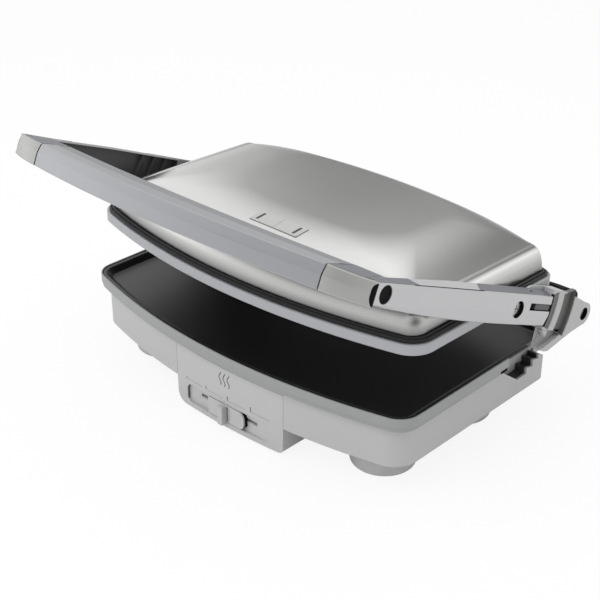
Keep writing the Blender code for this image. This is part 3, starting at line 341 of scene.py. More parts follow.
# Tone, gloss, grain along and across (per metre), tone swing, bump (mm), metal, shine
finishes = {
    "shellPlastic": ((0.470, 0.472, 0.470), 0.42, 900, 900, 0.05, 0.015, 0.0, 0.5),
    "panelPlastic": ((0.490, 0.492, 0.490), 0.42, 900, 900, 0.05, 0.015, 0.0, 0.5),
    "rimPaint": ((0.300, 0.315, 0.305), 0.36, 1400, 1400, 0.08, 0.01, 0.0, 0.5),
    "bandPaint": ((0.40, 0.41, 0.43), 0.36, 1500, 1500, 0.06, 0.01, 0.55, 0.5),
    "gripPaint": ((0.38, 0.39, 0.41), 0.40, 1500, 1500, 0.06, 0.01, 0.60, 0.5),
    "cornerCast": ((0.44, 0.44, 0.43), 0.40, 700, 700, 0.20, 0.03, 0.70, 0.5),
    "armSatin": ((0.53, 0.53, 0.54), 0.30, 60, 1500, 0.08, 0.01, 0.75, 0.5),
    "inlayGrey": ((0.15, 0.16, 0.18), 0.40, 800, 800, 0.1, 0.02, 0.3, 0.5),
    "brushedSteel": ((0.62, 0.62, 0.61), 0.25, 22, 2600, 0.10, 0.02, 1.0, 0.5),
    # A dark steel used as painted shade along the cover's crease.
    "steelShade": ((0.170, 0.170, 0.168), 0.34, 22, 2600, 0.10, 0.0, 0.9, 0.5),
    "indicatorSatin": ((0.52, 0.52, 0.51), 0.32, 40, 1800, 0.08, 0.01, 0.7, 0.5),
    "gripRearPaint": ((0.25, 0.26, 0.27), 0.42, 1500, 1500, 0.06, 0.01, 0.4, 0.5),
    "plateCoat": ((0.009, 0.009, 0.009), 0.36, 2400, 2400, 0.6, 0.03, 0.0, 0.55),
    "pressCoat": ((0.009, 0.009, 0.009), 0.46, 2400, 2400, 0.6, 0.03, 0.0, 0.25),
    "sealRubber": ((0.010, 0.010, 0.011), 0.42, 1200, 1200, 0.2, 0.02, 0.0, 0.4),
    "blackPlastic": ((0.018, 0.018, 0.019), 0.40, 1200, 1200, 0.2, 0.02, 0.0, 0.4),
    "deepBlack": ((0.005, 0.005, 0.005), 0.55, 1200, 1200, 0.3, 0.02, 0.0, 0.06),
    "rackPlastic": ((0.030, 0.031, 0.030), 0.45, 1200, 1200, 0.2, 0.02, 0.0, 0.5),
    # A grey used as painted shade on the bracket's web floor.
    "webShadeGrey": ((0.260, 0.260, 0.250), 0.50, 900, 900, 0.12, 0.02, 0.0, 0.5),
    # A grey used as painted shade: on the track's wall, in the knob's recess, in the bracket's groove and
    # round the arm's end.
    "paintedShadeGrey": ((0.130, 0.130, 0.125), 0.50, 900, 900, 0.15, 0.02, 0.0, 0.5),
    "trayPlastic": ((0.055, 0.056, 0.055), 0.40, 900, 900, 0.2, 0.02, 0.0, 0.5),
    "darkPlastic": ((0.075, 0.078, 0.085), 0.45, 1000, 1000, 0.12, 0.02, 0.0, 0.5),
    "zincSteel": ((0.55, 0.55, 0.54), 0.30, 500, 1200, 0.12, 0.02, 1.0, 0.5),
    "smokedLens": ((0.040, 0.040, 0.042), 0.15, 600, 600, 0.1, 0.0, 0.0, 0.5),
    "printGrey": ((0.060, 0.060, 0.060), 0.50, 2000, 2000, 0.1, 0.0, 0.0, 0.5),
    "printPale": ((0.230, 0.230, 0.230), 0.50, 2000, 2000, 0.1, 0.0, 0.0, 0.5),
}


def paintedShadeBelow(nodes, links, colour, across, low, high, darkest):
    # Painted shade: the colour times a share that rises smoothly from darkest to one, as a point's
    # height along the direction across goes from low to high.
    coordinates = nodes.new("ShaderNodeTexCoord")
    level = nodes.new("ShaderNodeVectorMath")
    level.operation = "DOT_PRODUCT"
    level.inputs[1].default_value = across
    links.new(coordinates.outputs["Object"], level.inputs[0])
    share = nodes.new("ShaderNodeMapRange")
    share.interpolation_type = "SMOOTHSTEP"
    for socket, value in zip(("From Min", "From Max", "To Min", "To Max"), (low, high, darkest, 1.0)):
        share.inputs[socket].default_value = value
    links.new(level.outputs["Value"], share.inputs["Value"])
    mixed = nodes.new("ShaderNodeMix")
    mixed.data_type = "RGBA"
    mixed.inputs[6].default_value = (0, 0, 0, 1)
    links.new(share.outputs["Result"], mixed.inputs[0])
    links.new(colour, mixed.inputs[7])
    return mixed.outputs[2]


# Painted shade: the cover's wall colour darkens towards its foot, in place of darker reflections
# there: direction, lowest and highest level, darkest share
paintedWallShade = {"foot": 0.0052, "full": 0.0180, "darkest": 0.38}
lidUp = lidPlace[:3, 2]
lidFoot = float(lidUp @ lidPlace[:3, 3])
paintedFootShade = {
    "brushedSteel": (lidUp.tolist(), lidFoot + paintedWallShade["foot"], lidFoot + paintedWallShade["full"],
                     paintedWallShade["darkest"]),
}
glossSwingShare = 0.25


def makeFinish(name, tone, gloss, along, across, toneSwing, bump, metal, shine):
    # Grained colour and roughness from the shared group, and its fine grain as a shallow bump.
    material = bpy.data.materials.new(name)
    material.use_nodes = True
    nodes, links = material.node_tree.nodes, material.node_tree.links
    shader = nodes["Principled BSDF"]
    shader.inputs["Metallic"].default_value = metal
    shader.inputs["Specular IOR Level"].default_value = shine
    grain = nodes.new("ShaderNodeGroup")
    grain.node_tree = grainGroup
    grain.inputs["Grain Along"].default_value = along
    grain.inputs["Grain Across"].default_value = across
    grain.inputs["Tone"].default_value = (*tone, 1)
    grain.inputs["Tone Swing"].default_value = toneSwing
    grain.inputs["Gloss"].default_value = gloss
    grain.inputs["Gloss Swing"].default_value = gloss * glossSwingShare
    colour = grain.outputs["Colour"]
    # Painted shade where the finish has one: the colour darkens towards the cover's foot.
    if name in paintedFootShade:
        colour = paintedShadeBelow(nodes, links, colour, *paintedFootShade[name])
    links.new(colour, shader.inputs["Base Color"])
    links.new(grain.outputs["Roughness"], shader.inputs["Roughness"])
    if bump:
        relief = nodes.new("ShaderNodeBump")
        relief.inputs["Strength"].default_value = 1
        relief.inputs["Distance"].default_value = bump * 0.001
        links.new(grain.outputs["Height"], relief.inputs["Height"])
        links.new(relief.outputs["Normal"], shader.inputs["Normal"])
    return material


paint = {name: makeFinish(name, *values) for name, values in finishes.items()}
print("finishes made", len(paint))


# Putting pieces in the scene
def addPiece(name, mesh, body, finish, replaces=(), bevel=0.0, sharp=32, segments=2):
    # Links the piece, rounds its sharp edges where a bevel is given, and hides the nodes it stands for.
    piece = bpy.data.objects.new(name, mesh)
    bpy.context.scene.collection.objects.link(piece)
    finishPiece(piece, body, finish, replaces, bevel, sharp, segments)
    return piece


def finishPiece(piece, body, finish, replaces=(), bevel=0.0, sharp=32, segments=2):
    # Finish, smooth shading with edges over the angle sharp kept crisp, and the piece's body.
    piece.data.materials.clear()
    piece.data.materials.append(paint[finish])
    piece.data.shade_smooth()
    piece.data.set_sharp_from_angle(angle=math.radians(sharp))
    if bevel:
        rounding = piece.modifiers.new("rounding", "BEVEL")
        rounding.width = bevel
        rounding.segments = segments
        rounding.limit_method = "ANGLE"
        rounding.angle_limit = math.radians(sharp)
        rounding.harden_normals = True
        rounding.use_clamp_overlap = True
    weighting = piece.modifiers.new("even shading", "WEIGHTED_NORMAL")
    weighting.keep_sharp = True
    weighting.weight = 60
    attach(piece, body)
    if replaces:
        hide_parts(*replaces)


def settle(piece):
    # Replaces the piece's mesh with what its modifiers make of it.
    bpy.context.view_layer.update()
    graph = bpy.context.evaluated_depsgraph_get()
    made = bpy.data.meshes.new_from_object(piece.evaluated_get(graph), depsgraph=graph)
    piece.modifiers.clear()
    piece.data = made


def cutWith(piece, cutters, operation="DIFFERENCE"):
    # Takes the cutters out of the piece in turn, or keeps only what lies inside them.
    helpers = []
    for cutter in cutters:
        helper = bpy.data.objects.new("cutter", cutter)
        bpy.context.scene.collection.objects.link(helper)
        helpers.append(helper)
        cut = piece.modifiers.new("cut", "BOOLEAN")
        cut.solver = "EXACT"
        cut.operation = operation
        cut.object = helper
    settle(piece)
    for helper in helpers:
        bpy.data.objects.remove(helper)


def carved(name, mesh, cutters, operation="DIFFERENCE"):
    # A new object, cut.
    piece = bpy.data.objects.new(name, mesh)
    bpy.context.scene.collection.objects.link(piece)
    cutWith(piece, cutters, operation)
    return piece


def carvedMesh(mesh, cutters, operation="DIFFERENCE"):
    # A cut mesh with no object left over.
    piece = carved("part", mesh, cutters, operation)
    mesh = piece.data
    bpy.data.objects.remove(piece)
    return mesh


def tidyMesh(mesh, flat=0.6):
    # Merges doubles and joins faces that lie in one plane, so that a bevel finds clean edges.
    bm = bmesh.new()
    bm.from_mesh(mesh)
    bmesh.ops.remove_doubles(bm, verts=bm.verts, dist=3e-6)
    bmesh.ops.dissolve_limit(bm, angle_limit=math.radians(flat), verts=bm.verts, edges=bm.edges)
    bm.to_mesh(mesh)
    bm.free()
    return mesh


def softenedNode(node, name, body, finish, bevel, sharp=32, segments=2, cutters=()):
    # A CAD node's shape with its edges rounded, standing for that node.
    mesh = tidyMesh(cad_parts[node].data.copy())
    if cutters:
        mesh = carvedMesh(mesh, cutters)
    return addPiece(name, mesh, body, finish, [node], bevel, sharp, segments)


# Base: shell, rim, cooking plate
rim = {
    "halfWidth": 0.175,
    "front": 0.0,
    "rear": 0.2180,
    "frontRadius": 0.5956,
    "rearRadius": 30.0,
    "frontCorner": 0.0192,
    "rearCorner": 0.009,
}
shell = {
    "halfWidth": 0.1695,
    "front": 0.0055,
    "rear": 0.2125,
    "frontRadius": 0.5901,
    "rearRadius": 29.9945,
    "frontCorner": 0.0225,
    "rearCorner": 0.0035,
}
steps = {
    "front": (0.1481, -0.0129),
    "ramp": (0.0263, 0.0193),
    "treads": ((0.0121, -0.0004, 0.0056), (0.0085, 0.0023, 0.0061), (0.0076, 0.0018, 0.0036)),
    "post": (0.0064, 0.0030),
    "chamfer": (0.0050, 0.0047),
    "inner": 0.1523,
}


def stepLine():
    # The ramp, three treads with risers, and the rear post, as running sums of their runs and falls.
    moves = [(steps["ramp"][0], -steps["ramp"][1])]
    for run, fall, rise in steps["treads"]:
        moves += [(run, -fall), (0, rise)]
    moves += [(steps["post"][0], -steps["post"][1]), (steps["chamfer"][0], -steps["chamfer"][1])]
    return np.concatenate([[steps["front"]], np.array(steps["front"]) + np.cumsum(moves, axis=0)])


def stepCutter(side):
    # The space over the steps on one side, from their line up to a level above the shell.
    line = stepLine()
    outline = np.concatenate([line, [(0.222, line[-1, 1]), (0.222, 0.004), (0.1441, 0.004)]])
    low, high = spanOf(side, steps["inner"], 0.179)
    return extrudedShape("stepCutter", outline, low, high, alongX, basePlace)


panel = {
    "left": -0.0500,
    "right": 0.0687,
    "top": -0.0158,
    "bottom": -0.0700,
    "back": 0.0125,
    "radii": (0.010, 0.0050, 0.0005, 0.0005),
}
gland = {"seat": (-0.120, 0.2123, -0.032), "seatRadius": 0.0065, "place": (-0.120, 0.21256, -0.032)}


def buildShell():
    # The tub's wall section swept round, less the panel's opening, the cord's way in and both steps.
    profile = [
        (0, -0.01185),
        (0, -0.0470),
        (0.0055, -0.0470),
        (0.0055, -0.0450),
        (0.0020, -0.0450),
        (0.0020, -0.01385),
        (0.0075, -0.01385),
        (0.0075, -0.01185),
    ]
    radii = (0.0003, 0.0014, 0.0001, 0.0001, 0.0008, 0.0008, 0.0001, 0.0001)
    mesh = sweptRing("housingShell", shell, softCorners(profile, radii, 4), basePlace, steps=30)
    gap = layout["clearance"]
    opening = boxShape("opening", (panel["left"] - gap, -0.004, panel["bottom"]),
                       (panel["right"] + gap, 0.0165, -0.0155), basePlace)
    seat = basePlace @ placeOf(facingRear, gland["seat"])
    inlet = drumShape("inlet", gland["seatRadius"], -0.03, 0.03, seat, 72)
    piece = carved("housingShell", mesh, [opening, inlet, stepCutter(1), stepCutter(-1)])
    finishPiece(piece, "base", "shellPlastic", ["base_housing"], sharp=30)


def buildRim():
    # The rim's section swept round twice: once less its rear and two notches, once for its rear strip.
    profile = [
        (0, 0),
        (0, -0.0080),
        (0.0010, -0.0085),
        (0.0010, -0.01155),
        (0.0045, -0.01155),
        (0.0045, -0.0032),
        (0.0012, -0.0032),
        (0.0012, 0),
    ]
    radii = (0.0009, 0.0005, 0.0004, 0.0002, 0.0002, 0.0001, 0.0001, 0.0003)
    rounded = softCorners(profile, radii, 4)
    band = sweptRing("rimBand", rim, rounded, basePlace, steps=40)
    behind = boxShape("behind", (-0.18, 0.1515, -0.016), (0.18, 0.222, 0.004), basePlace)
    notch = boxShape("notch", (-0.18, 0.1429, -0.016), (0.18, 0.1518, -0.0080), basePlace)
    piece = carved("rimBand", band, [behind, notch])
    finishPiece(piece, "base", "rimPaint", ["lower_rim_band"], sharp=30)
    strip = sweptRing("rearRimStrip", rim, rounded, basePlace, steps=40)
    between = boxShape("between", (-0.1581, 0.18475, -0.016), (0.1581, 0.222, 0.004), basePlace)
    piece = carved("rearRimStrip", strip, [between], "INTERSECT")
    finishPiece(piece, "base", "rimPaint", ["rear_rim_band"], sharp=30)


def buildCookingPlate():
    # The dished floor's edge, a sloped side up to the lip and the sheet's underside, swept round the
    # rim's outline and closed flat above and below.
    profile = [
        (0.0130, -0.0060),
        (0.0095, -0.0060),
        (0.0050, -0.0008),
        (0.0015, -0.0008),
        (0.0015, -0.0029),
        (0.0048, -0.0029),
        (0.0115, -0.0100),
    ]
    radii = (0, 0.0018, 0.0012, 0.0006, 0.0002, 0.0004, 0)
    profile = softCorners(profile, radii, 5, False)
    mesh = sweptRing("cookingPlate", rim, profile, basePlace, closed=False, steps=40)
    addPiece("cookingPlate", mesh, "base", "plateCoat", ["lower_plate"])


feet = {
    "aside": 0.1264,
    "rows": {"front": 0.0614, "rear": 0.1580},
    "drum": [(0, -0.0473), (0.0262, -0.0473), (0.0262, -0.0710), (0.01885, -0.0710),
             (0.01885, -0.0692), (0, -0.0692)],
    "drumRadii": (0, 0.0004, 0.0042, 0.0003, 0.0001, 0),
    "pad": [(0, -0.0695), (0.0185, -0.0695), (0.0185, -0.0725), (0, -0.0725)],
    "padRadii": (0, 0.0002, 0.0006, 0),
}


def buildFeet():
    # Each foot is a drum with a rounded lower edge; its pad is a disc with a soft rim.
    drum = softCorners(feet["drum"], feet["drumRadii"], 6, False)
    disc = softCorners(feet["pad"], feet["padRadii"], 4, False)
    for row, y in feet["rows"].items():
        for side, hand in sides:
            place = basePlace @ placeOf(np.eye(3), (side * feet["aside"], y, 0))
            addPiece(f"stand_{row}_{hand}", turnedShape("foot", drum, place, 96), "base",
                     "shellPlastic", [f"foot_{row}_{hand}"])
            addPiece(f"standPad_{row}_{hand}", turnedShape("pad", disc, place, 64), "base",
                     "sealRubber", [f"foot_pad_{row}_{hand}"])


buildShell()
buildRim()
buildCookingPlate()
buildFeet()
print("base shell, rim, plate and feet built")

# Control panel with its track, slider and printed marks
control = {
    "track": (-0.0370, -0.0655, 0.0533, -0.0483),
    "trackRadius": 0.0052,
    "slot": (-0.0221, -0.0561, 0.0417, -0.0529),
    "iconStrokes": (0.0033, 0.0079, 0.0125),
    "iconSpan": (-0.0322, -0.0205),
    "tickPlaces": (-0.0378, -0.0139, 0.0112, 0.0362),
    "tickHeights": (0.0014, 0.0029, 0.0038, 0.0046),
    "tickFoot": -0.0440,
    "lineLength": 0.0195,
    "strokeWidth": 0.00085,
    "tickWidth": 0.0008,
    "lineWidth": 0.00035,
    "proud": 0.00006,
}


def panelFace(x):
    # The panel's front follows the shell's bow: y = front + R - sqrt(R^2 - x^2).
    radius = shell["frontRadius"]
    return shell["front"] + radius - np.sqrt(radius**2 - np.asarray(x) ** 2)


def buildPanel():
    # A rounded block kept only within the shell's outline, hollowed from behind, with the slider's
    # track and slot cut in its face.
    outline = roundedRectangle(panel["left"], panel["bottom"], panel["right"], panel["top"], panel["radii"])
    block = extrudedShape("controlPanel", outline, -0.004, 0.0450, alongY, basePlace)
    body = sweptRing("body", shell, [(0, -0.074), (0, 0.004)], basePlace, closed=False, steps=60)
    block = carvedMesh(block, [body], "INTERSECT")
    inside = boxShape("inside", (-0.0475, panel["back"], -0.0675), (0.0662, 0.0425, 0.004), basePlace)
    above = boxShape("above", (-0.054, panel["back"], -0.0473), (0.0727, 0.049, 0.004), basePlace)
    left, bottom, right, top = control["track"]
    radii = (control["trackRadius"],) * 4
    track = roundedRectangle(left, bottom, right, top, radii)
    recess = extrudedShape("track", track, -0.008, 0.0085, alongY, basePlace)
    left, bottom, right, top = control["slot"]
    slit = boxShape("slit", (left, -0.004, bottom), (right, 0.0165, top), basePlace)
    piece = carved("controlPanel", block, [inside, above, recess, slit])
    piece.data = tidyMesh(piece.data, 0.2)
    finishPiece(piece, "base", "panelPlastic", ["control_panel"], bevel=0.00035, sharp=35)
    # Painted shade: a thin dark strip along the track's left wall, in place of the shadow there.
    left, bottom, right, top = control["track"]
    outer = extrudedShape("outer", track * (0.9995, 1), 0.0063, 0.0084, alongY, basePlace)
    middle = roundedRectangle(left + 0.0005, bottom - 0.0010, right, top + 0.0003, radii)
    inner = extrudedShape("inner", middle, 0.0050, 0.0100, alongY, basePlace)
    rest = boxShape("rest", (left + 0.0060, 0.0050, bottom - 0.002),
                    (right + 0.002, 0.0100, top + 0.002), basePlace)
    piece = carved("trackShade", outer, [inner, rest])
    finishPiece(piece, "base", "paintedShadeGrey", sharp=35)


def ribbon(name, xs, zs, width, finish):
    # A printed stroke: a band of even width along a path on the panel's face, a hair proud of it.
    path = np.stack([xs, zs], axis=-1)
    along = np.gradient(path, axis=0)
    along /= np.linalg.norm(along, axis=1, keepdims=True)
    across = np.stack([-along[:, 1], along[:, 0]], axis=-1) * width / 2
    edges = np.stack([path - across, path + across])
    levels = []
    for depth in (control["proud"], -0.0001):
        y = panelFace(edges[..., 0]) - depth
        levels.append(np.stack([edges[..., 0], y, edges[..., 1]], axis=-1))
    rows = np.stack([levels[0][0], levels[0][1], levels[1][1], levels[1][0]])
    return addPiece(name, stripOf(name, rows, basePlace), "base", finish)


def buildPanelMarks():
    # Three heat waves, and four ticks that each stand on a thin line falling to the next.
    s = np.linspace(0, 1, 33)
    low, high = control["iconSpan"]
    for i, x in enumerate(control["iconStrokes"]):
        wave = x + 0.0011 * np.sin(2 * math.pi * (1.15 * s + 0.05))
        ribbon(f"heatWave_{i + 1}", wave, low + (high - low) * s, control["strokeWidth"], "printGrey")
    foot = control["tickFoot"]
    for i, (x, height) in enumerate(zip(control["tickPlaces"], control["tickHeights"])):
        rise = np.linspace(foot, foot + height, 5)
        ribbon(f"scaleTick_{i + 1}", np.full(5, x), rise, control["tickWidth"], "printGrey")
        run = np.linspace(x, x + control["lineLength"], 17)
        ribbon(f"scaleLine_{i + 1}", run, np.full(17, foot), control["lineWidth"], "printPale")


knob = {
    "left": -0.0105,
    "right": 0.0301,
    "bottom": -0.0640,
    "top": -0.0487,
    "front": 0.0045,
    "back": 0.0061,
    "recess": (0.0103, 0.0022, 0.0012),
    "groove": (0.0138, 0.0005, 0.0006),
}


def buildSlider():
    # The knob's plate with a recess and a fine groove beside its fin. A grey strip in the recess and a
    # black underlay that shows past the plate's right end are painted shadow.
    k = knob
    grooves = [
        boxShape("groove", (x, 0.0030, k["bottom"] + 0.0008),
                 (x + width, k["front"] + deep, k["top"] - 0.0008), basePlace)
        for x, width, deep in (k["recess"], k["groove"])
    ]
    softenedNode("temperature_knob", "sliderKnob", "temperature_slider",
                 "panelPlastic", 0.0005, cutters=grooves)
    x, width, deep = k["recess"]
    # Painted shade: a grey strip in the recess, in place of its shadow.
    strip = boxShape("strip", (x + 0.0001, k["front"] + deep - 0.0004, k["bottom"] + 0.0009),
                     (x + width - 0.0001, k["front"] + deep - 0.00005, k["top"] - 0.0009), basePlace)
    addPiece("knobShade", strip, "temperature_slider", "paintedShadeGrey", sharp=40)
    # Painted shadow: a black slab behind the plate, a millimetre wider at its right end.
    outline = roundedRectangle(k["left"] + 0.001, k["bottom"] + 0.0002, k["right"] + 0.0010,
                               k["top"] - 0.0002, (0.001, 0.0055, 0.0055, 0.001))
    mesh = extrudedShape("underlay", outline, k["back"], k["back"] + 0.0020, alongY, basePlace)
    addPiece("knobShadowUnderlay", mesh, "temperature_slider", "deepBlack", sharp=40)
    softenedNode("slider_carriage", "sliderCarriage", "temperature_slider",
                 "blackPlastic", 0.0004)


buildPanel()
buildPanelMarks()
buildSlider()
print("control panel, marks and slider built")


# Racks, liners, posts, pins and the cord gland: node, piece, slot, finish, rounding
rearNodes = (
    ("step_rack", "stepRack", "black_plastic", "rackPlastic", 0.0004),
    ("step_pocket_liner", "pocketLiner", "light_plastic", "shellPlastic", 0.0003),
    ("hinge_post", "hingePost", "light_plastic", "shellPlastic", 0.0006),
    ("hinge_pin", "hingePin", "zinc_steel", "zincSteel", 0.0003),
)


def buildRearFittings():
    # A black pad in each notch as painted shadow, the listed nodes on each side, and the gland turned about
    # its own axis.
    for side, hand in sides:
        # Painted shadow: a black pad filling the notch in the rim's strip.
        low, high = spanOf(side, 0.1712, 0.1744)
        pad = boxShape("notchShadowPad", (low, 0.1433, -0.0113), (high, 0.1512, -0.0084), basePlace)
        addPiece(f"notchShadowPad_{hand}", pad, "base", "deepBlack", bevel=0.0003, sharp=40)
        for node, name, slot, finish, bevel in rearNodes:
            softenedNode(f"{node}_{hand}", f"{name}_{hand}", "base", finish, bevel)
    place = basePlace @ placeOf(facingRear, gland["place"])
    profile = [
        (0.0036, 0.0030),
        (0.0090, 0.0030),
        (0.0090, 0),
        (0.0062, 0),
        (0.0062, -0.0060),
        (0.0036, -0.0060),
    ]
    radii = (0.0008, 0.0012, 0.0002, 0.0002, 0.0004, 0.0004)
    mesh = turnedShape("gland", softCorners(profile, radii, 4), place, 64)
    addPiece("cordGland", mesh, "base", "sealRubber", ["cord_gland"])


bottomCover = {
    "face": -0.0470,
    "vents": 9,
    "ventStart": -0.0400,
    "ventPitch": 0.0100,
    "ventWidth": 0.0032,
    "ventReach": (0.0900, 0.1350),
    "screws": ((-0.090, 0.040), (0.090, 0.040), (-0.090, 0.190), (0.090, 0.190)),
    "screwSize": (0.0030, 0.0010),
}


def buildBottom():
    # The bottom cover with slotted vents, and a screw near each corner.
    b = bottomCover
    near, far = b["ventReach"]
    starts = b["ventStart"] + b["ventPitch"] * np.arange(b["vents"])
    vents = [
        boxShape("vent", (x, near, b["face"] - 0.001),
                 (x + b["ventWidth"], far, b["face"] + 0.003), basePlace)
        for x in starts
    ]
    softenedNode("base_bottom_cover", "bottomCover", "base", "shellPlastic", 0.0003,
                 cutters=vents)
    for i, (x, y) in enumerate(b["screws"]):
        place = basePlace @ placeOf(np.diag([1.0, -1.0, -1.0]), (x, y, b["face"]))
        buildScrew(f"bottomScrew_{i + 1}", place, *b["screwSize"], "base")


def buildScrew(name, place, radius, height, body):
    # A domed head with a cross recess, turned about the place's own axis.
    corners = [(0, height), (radius, height), (radius, -0.0002), (0, -0.0002)]
    head = turnedShape(name, softCorners(corners, (0, radius * 0.3, 0.0001, 0), 5, False), place, 48)
    deep = height * 0.45
    slots = [
        boxShape("slot", (-w / 2, -l / 2, deep), (w / 2, l / 2, height * 2), place)
        for w, l in ((radius * 0.26, radius * 1.15), (radius * 1.15, radius * 0.26))
    ]
    piece = carved(name, head, slots)
    finishPiece(piece, body, "zincSteel")


buildRearFittings()
buildBottom()
print("racks, posts, gland and bottom built")

# Arms, bolts, plugs, lock sliders
hollowed = {
    "start": 0.1200,
    "end": 0.2790,
    "lip": 0.0018,
    "depth": 0.0048,
    "rib": 0.0012,
    "ribs": (0.1360, 0.1500, 0.1640),
    "boss": (0.2380, 0.0030),
}
arm = {
    "outer": 0.1884,
    "inner": 0.1785,
    "front": 0.2885,
    "top": 0.0120,
    "crest": 0.0150,
    "endRadius": 0.0475,
    "crease": -0.0033,
    "pivot": 0.1052,
    "start": 0.0575,
    "underside": (-0.0122, 0.0082),
    "crestFall": (0.1968, 0.0022),
    "plug": (0.2778, 0.0043),
}


def armUnderside(along):
    # Level to the pivot, then rising towards the handle by the run to the power 2.2.
    run = np.clip((along - arm["pivot"]) / (arm["front"] - arm["pivot"]), 0, 1)
    low, rise = arm["underside"]
    return low + rise * run**2.2


def armCrest(along):
    # The inner top edge, falling towards the handle over the front half.
    start, fall = arm["crestFall"]
    run = np.clip((along - start) / (arm["front"] - start), 0, 1)
    return arm["crest"] - fall * run


def armMesh(side, name):
    # Sections from the round rear end to the handle; each runs up the outer face, over the crease,
    # across the top.
    share = np.linspace(0, 1, 61)[:, None]
    along = arm["start"] + (arm["front"] - arm["start"]) * share
    under, crest = armUnderside(along), armCrest(along)
    outer, inner = arm["outer"], arm["inner"]
    corners = [
        (inner, under),
        (outer - 0.0012, under),
        (outer - 0.0001, np.full_like(under, arm["crease"])),
        (outer, np.full_like(under, arm["crease"] + 0.0006)),
        (outer - 0.0002, np.full_like(under, arm["top"])),
        (inner, crest),
    ]
    x = np.concatenate([np.full_like(under, px) for px, _ in corners], axis=1)
    up = np.concatenate([py for _, py in corners], axis=1)
    section = np.stack([x, up], axis=-1)
    radii = (0.0006, 0.0010, 0.0003, 0.0003, 0.0008, 0.0006)
    rows = np.stack([softCorners(ring, radii, 4) for ring in section])
    x, up = rows[..., 0], rows[..., 1]
    end = arm["pivot"] - np.sqrt(arm["endRadius"] ** 2 - up**2)
    a = end + (arm["front"] - end) * share
    return skinOf(name, toWorld(np.stack([side * x, -a, up], axis=-1), armPlace))


def sidePlace(side, along, up, x):
    # A place on the arm's side whose own z axis points outwards.
    return armPlace @ placeOf(facingSide(side), (side * x, -along, up))


def buildArm(side, hand):
    # The arm's skin less the seats of its bolt and plug, the lock's slot and its hollow inner side.
    pivot = sidePlace(side, arm["pivot"], 0, arm["outer"])
    sunk = drumShape("sunk", 0.0068, -0.0044, 0.004, pivot)
    bore = drumShape("bore", 0.0028, -0.016, 0.004, pivot, 48)
    plugSeat = drumShape("plugSeat", 0.0066, -0.0039, 0.004, sidePlace(side, *arm["plug"], arm["outer"]))
    low, high = spanOf(side, arm["outer"] - 0.0060, arm["outer"] + 0.004)
    slot = boxShape("slot", (low, -0.0892, 0.0), (high, -0.0537, 0.0057), armPlace)
    cutters = [sunk, bore, plugSeat, slot, buildHollow(side, hand)]
    piece = carved(f"armBar_{hand}", armMesh(side, "armBar"), cutters)
    piece.data = tidyMesh(piece.data, 0.05)
    finishPiece(piece, "arms", "armSatin", [f"arm_{hand}"], bevel=0.00025, sharp=40)
    buildLiners(side, hand)


def buildLiners(side, hand):
    # Thin dark linings: a sleeve in the bolt's seat and a tray in the lock slot.
    ring = [(0.0064, -0.0043), (0.0068, -0.0043), (0.0068, -0.0003), (0.0064, -0.0003)]
    mesh = turnedShape("sleeve", ring, sidePlace(side, arm["pivot"], 0, arm["outer"]), 64)
    addPiece(f"boltSleeve_{hand}", mesh, "arms", "deepBlack", sharp=40)
    low, high = spanOf(side, arm["outer"] - 0.00598, arm["outer"] - 0.0004)
    tray = boxShape("tray", (low, -0.08918, 0.00002), (high, -0.0560, 0.00568), armPlace)
    low, high = spanOf(side, arm["outer"] - 0.00586, arm["outer"] + 0.004)
    hollow = boxShape("hollow", (low, -0.08906, 0.00014), (high, -0.0540, 0.00556), armPlace)
    piece = carved(f"slotTray_{hand}", tray, [hollow])
    finishPiece(piece, "arms", "deepBlack", sharp=40)


def buildHollow(side, hand):
    # The open inner side of the arm: a dark tray with upright ribs, its floor halfway through the bar.
    h = hollowed
    share = np.linspace(0, 1, 41)
    a = h["start"] + (h["end"] - h["start"]) * share
    top = armCrest(a) - h["lip"]
    bottom = armUnderside(a) + h["lip"]

    def loop(margin):
        # The hollow's outline drawn in by the margin: along its top, then back along its bottom.
        lead = a.copy()
        lead[0] += margin
        lead[-1] -= margin
        upper = np.stack([-lead, top - margin], axis=-1)
        lower = np.stack([-lead, bottom + margin], axis=-1)
        return np.concatenate([upper, lower[::-1]])

    floor, face = arm["inner"] + h["depth"], arm["inner"] - 0.002
    low, high = spanOf(side, floor, face)
    cutter = extrudedShape("hollow", loop(0.0), low, high, alongX, armPlace)
    low, high = spanOf(side, floor - 0.00002, arm["inner"] + 0.0003)
    tray = extrudedShape("tray", loop(0.00002), low, high, alongX, armPlace)
    low, high = spanOf(side, floor - 0.0003, arm["inner"] - 0.002)
    inside = extrudedShape("inside", loop(0.0004), low, high, alongX, armPlace)
    tray = carved(f"armTray_{hand}", tray, [inside])
    finishPiece(tray, "arms", "trayPlastic", sharp=40)
    for i, along in enumerate(h["ribs"]):
        rise = float(armCrest(along)) - h["lip"] - 0.0003
        fall = float(armUnderside(along)) + h["lip"] + 0.0003
        low, high = spanOf(side, floor - 0.0002, arm["inner"] + 0.0009)
        lean = 0.0016
        start, end = -along - lean, -along + lean
        outline = [(start, fall), (start + h["rib"], fall), (end + h["rib"], rise), (end, rise)]
        mesh = extrudedShape("rib", outline, low, high, alongX, armPlace)
        addPiece(f"armRib_{hand}_{i + 1}", mesh, "arms", "trayPlastic",
                 bevel=0.0002, sharp=40)
    along, radius = h["boss"]
    inner = radius - 0.0008
    profile = [(0, 0.0002), (radius, 0.0002), (radius, -0.0012), (inner, -0.0012), (inner, -0.0006),
               (0, -0.0006)]
    mesh = turnedShape("trayBoss", profile, sidePlace(side, along, 0.0020, floor), 48)
    addPiece(f"trayBoss_{hand}", mesh, "arms", "trayPlastic", bevel=0.0001, sharp=40)
    return cutter


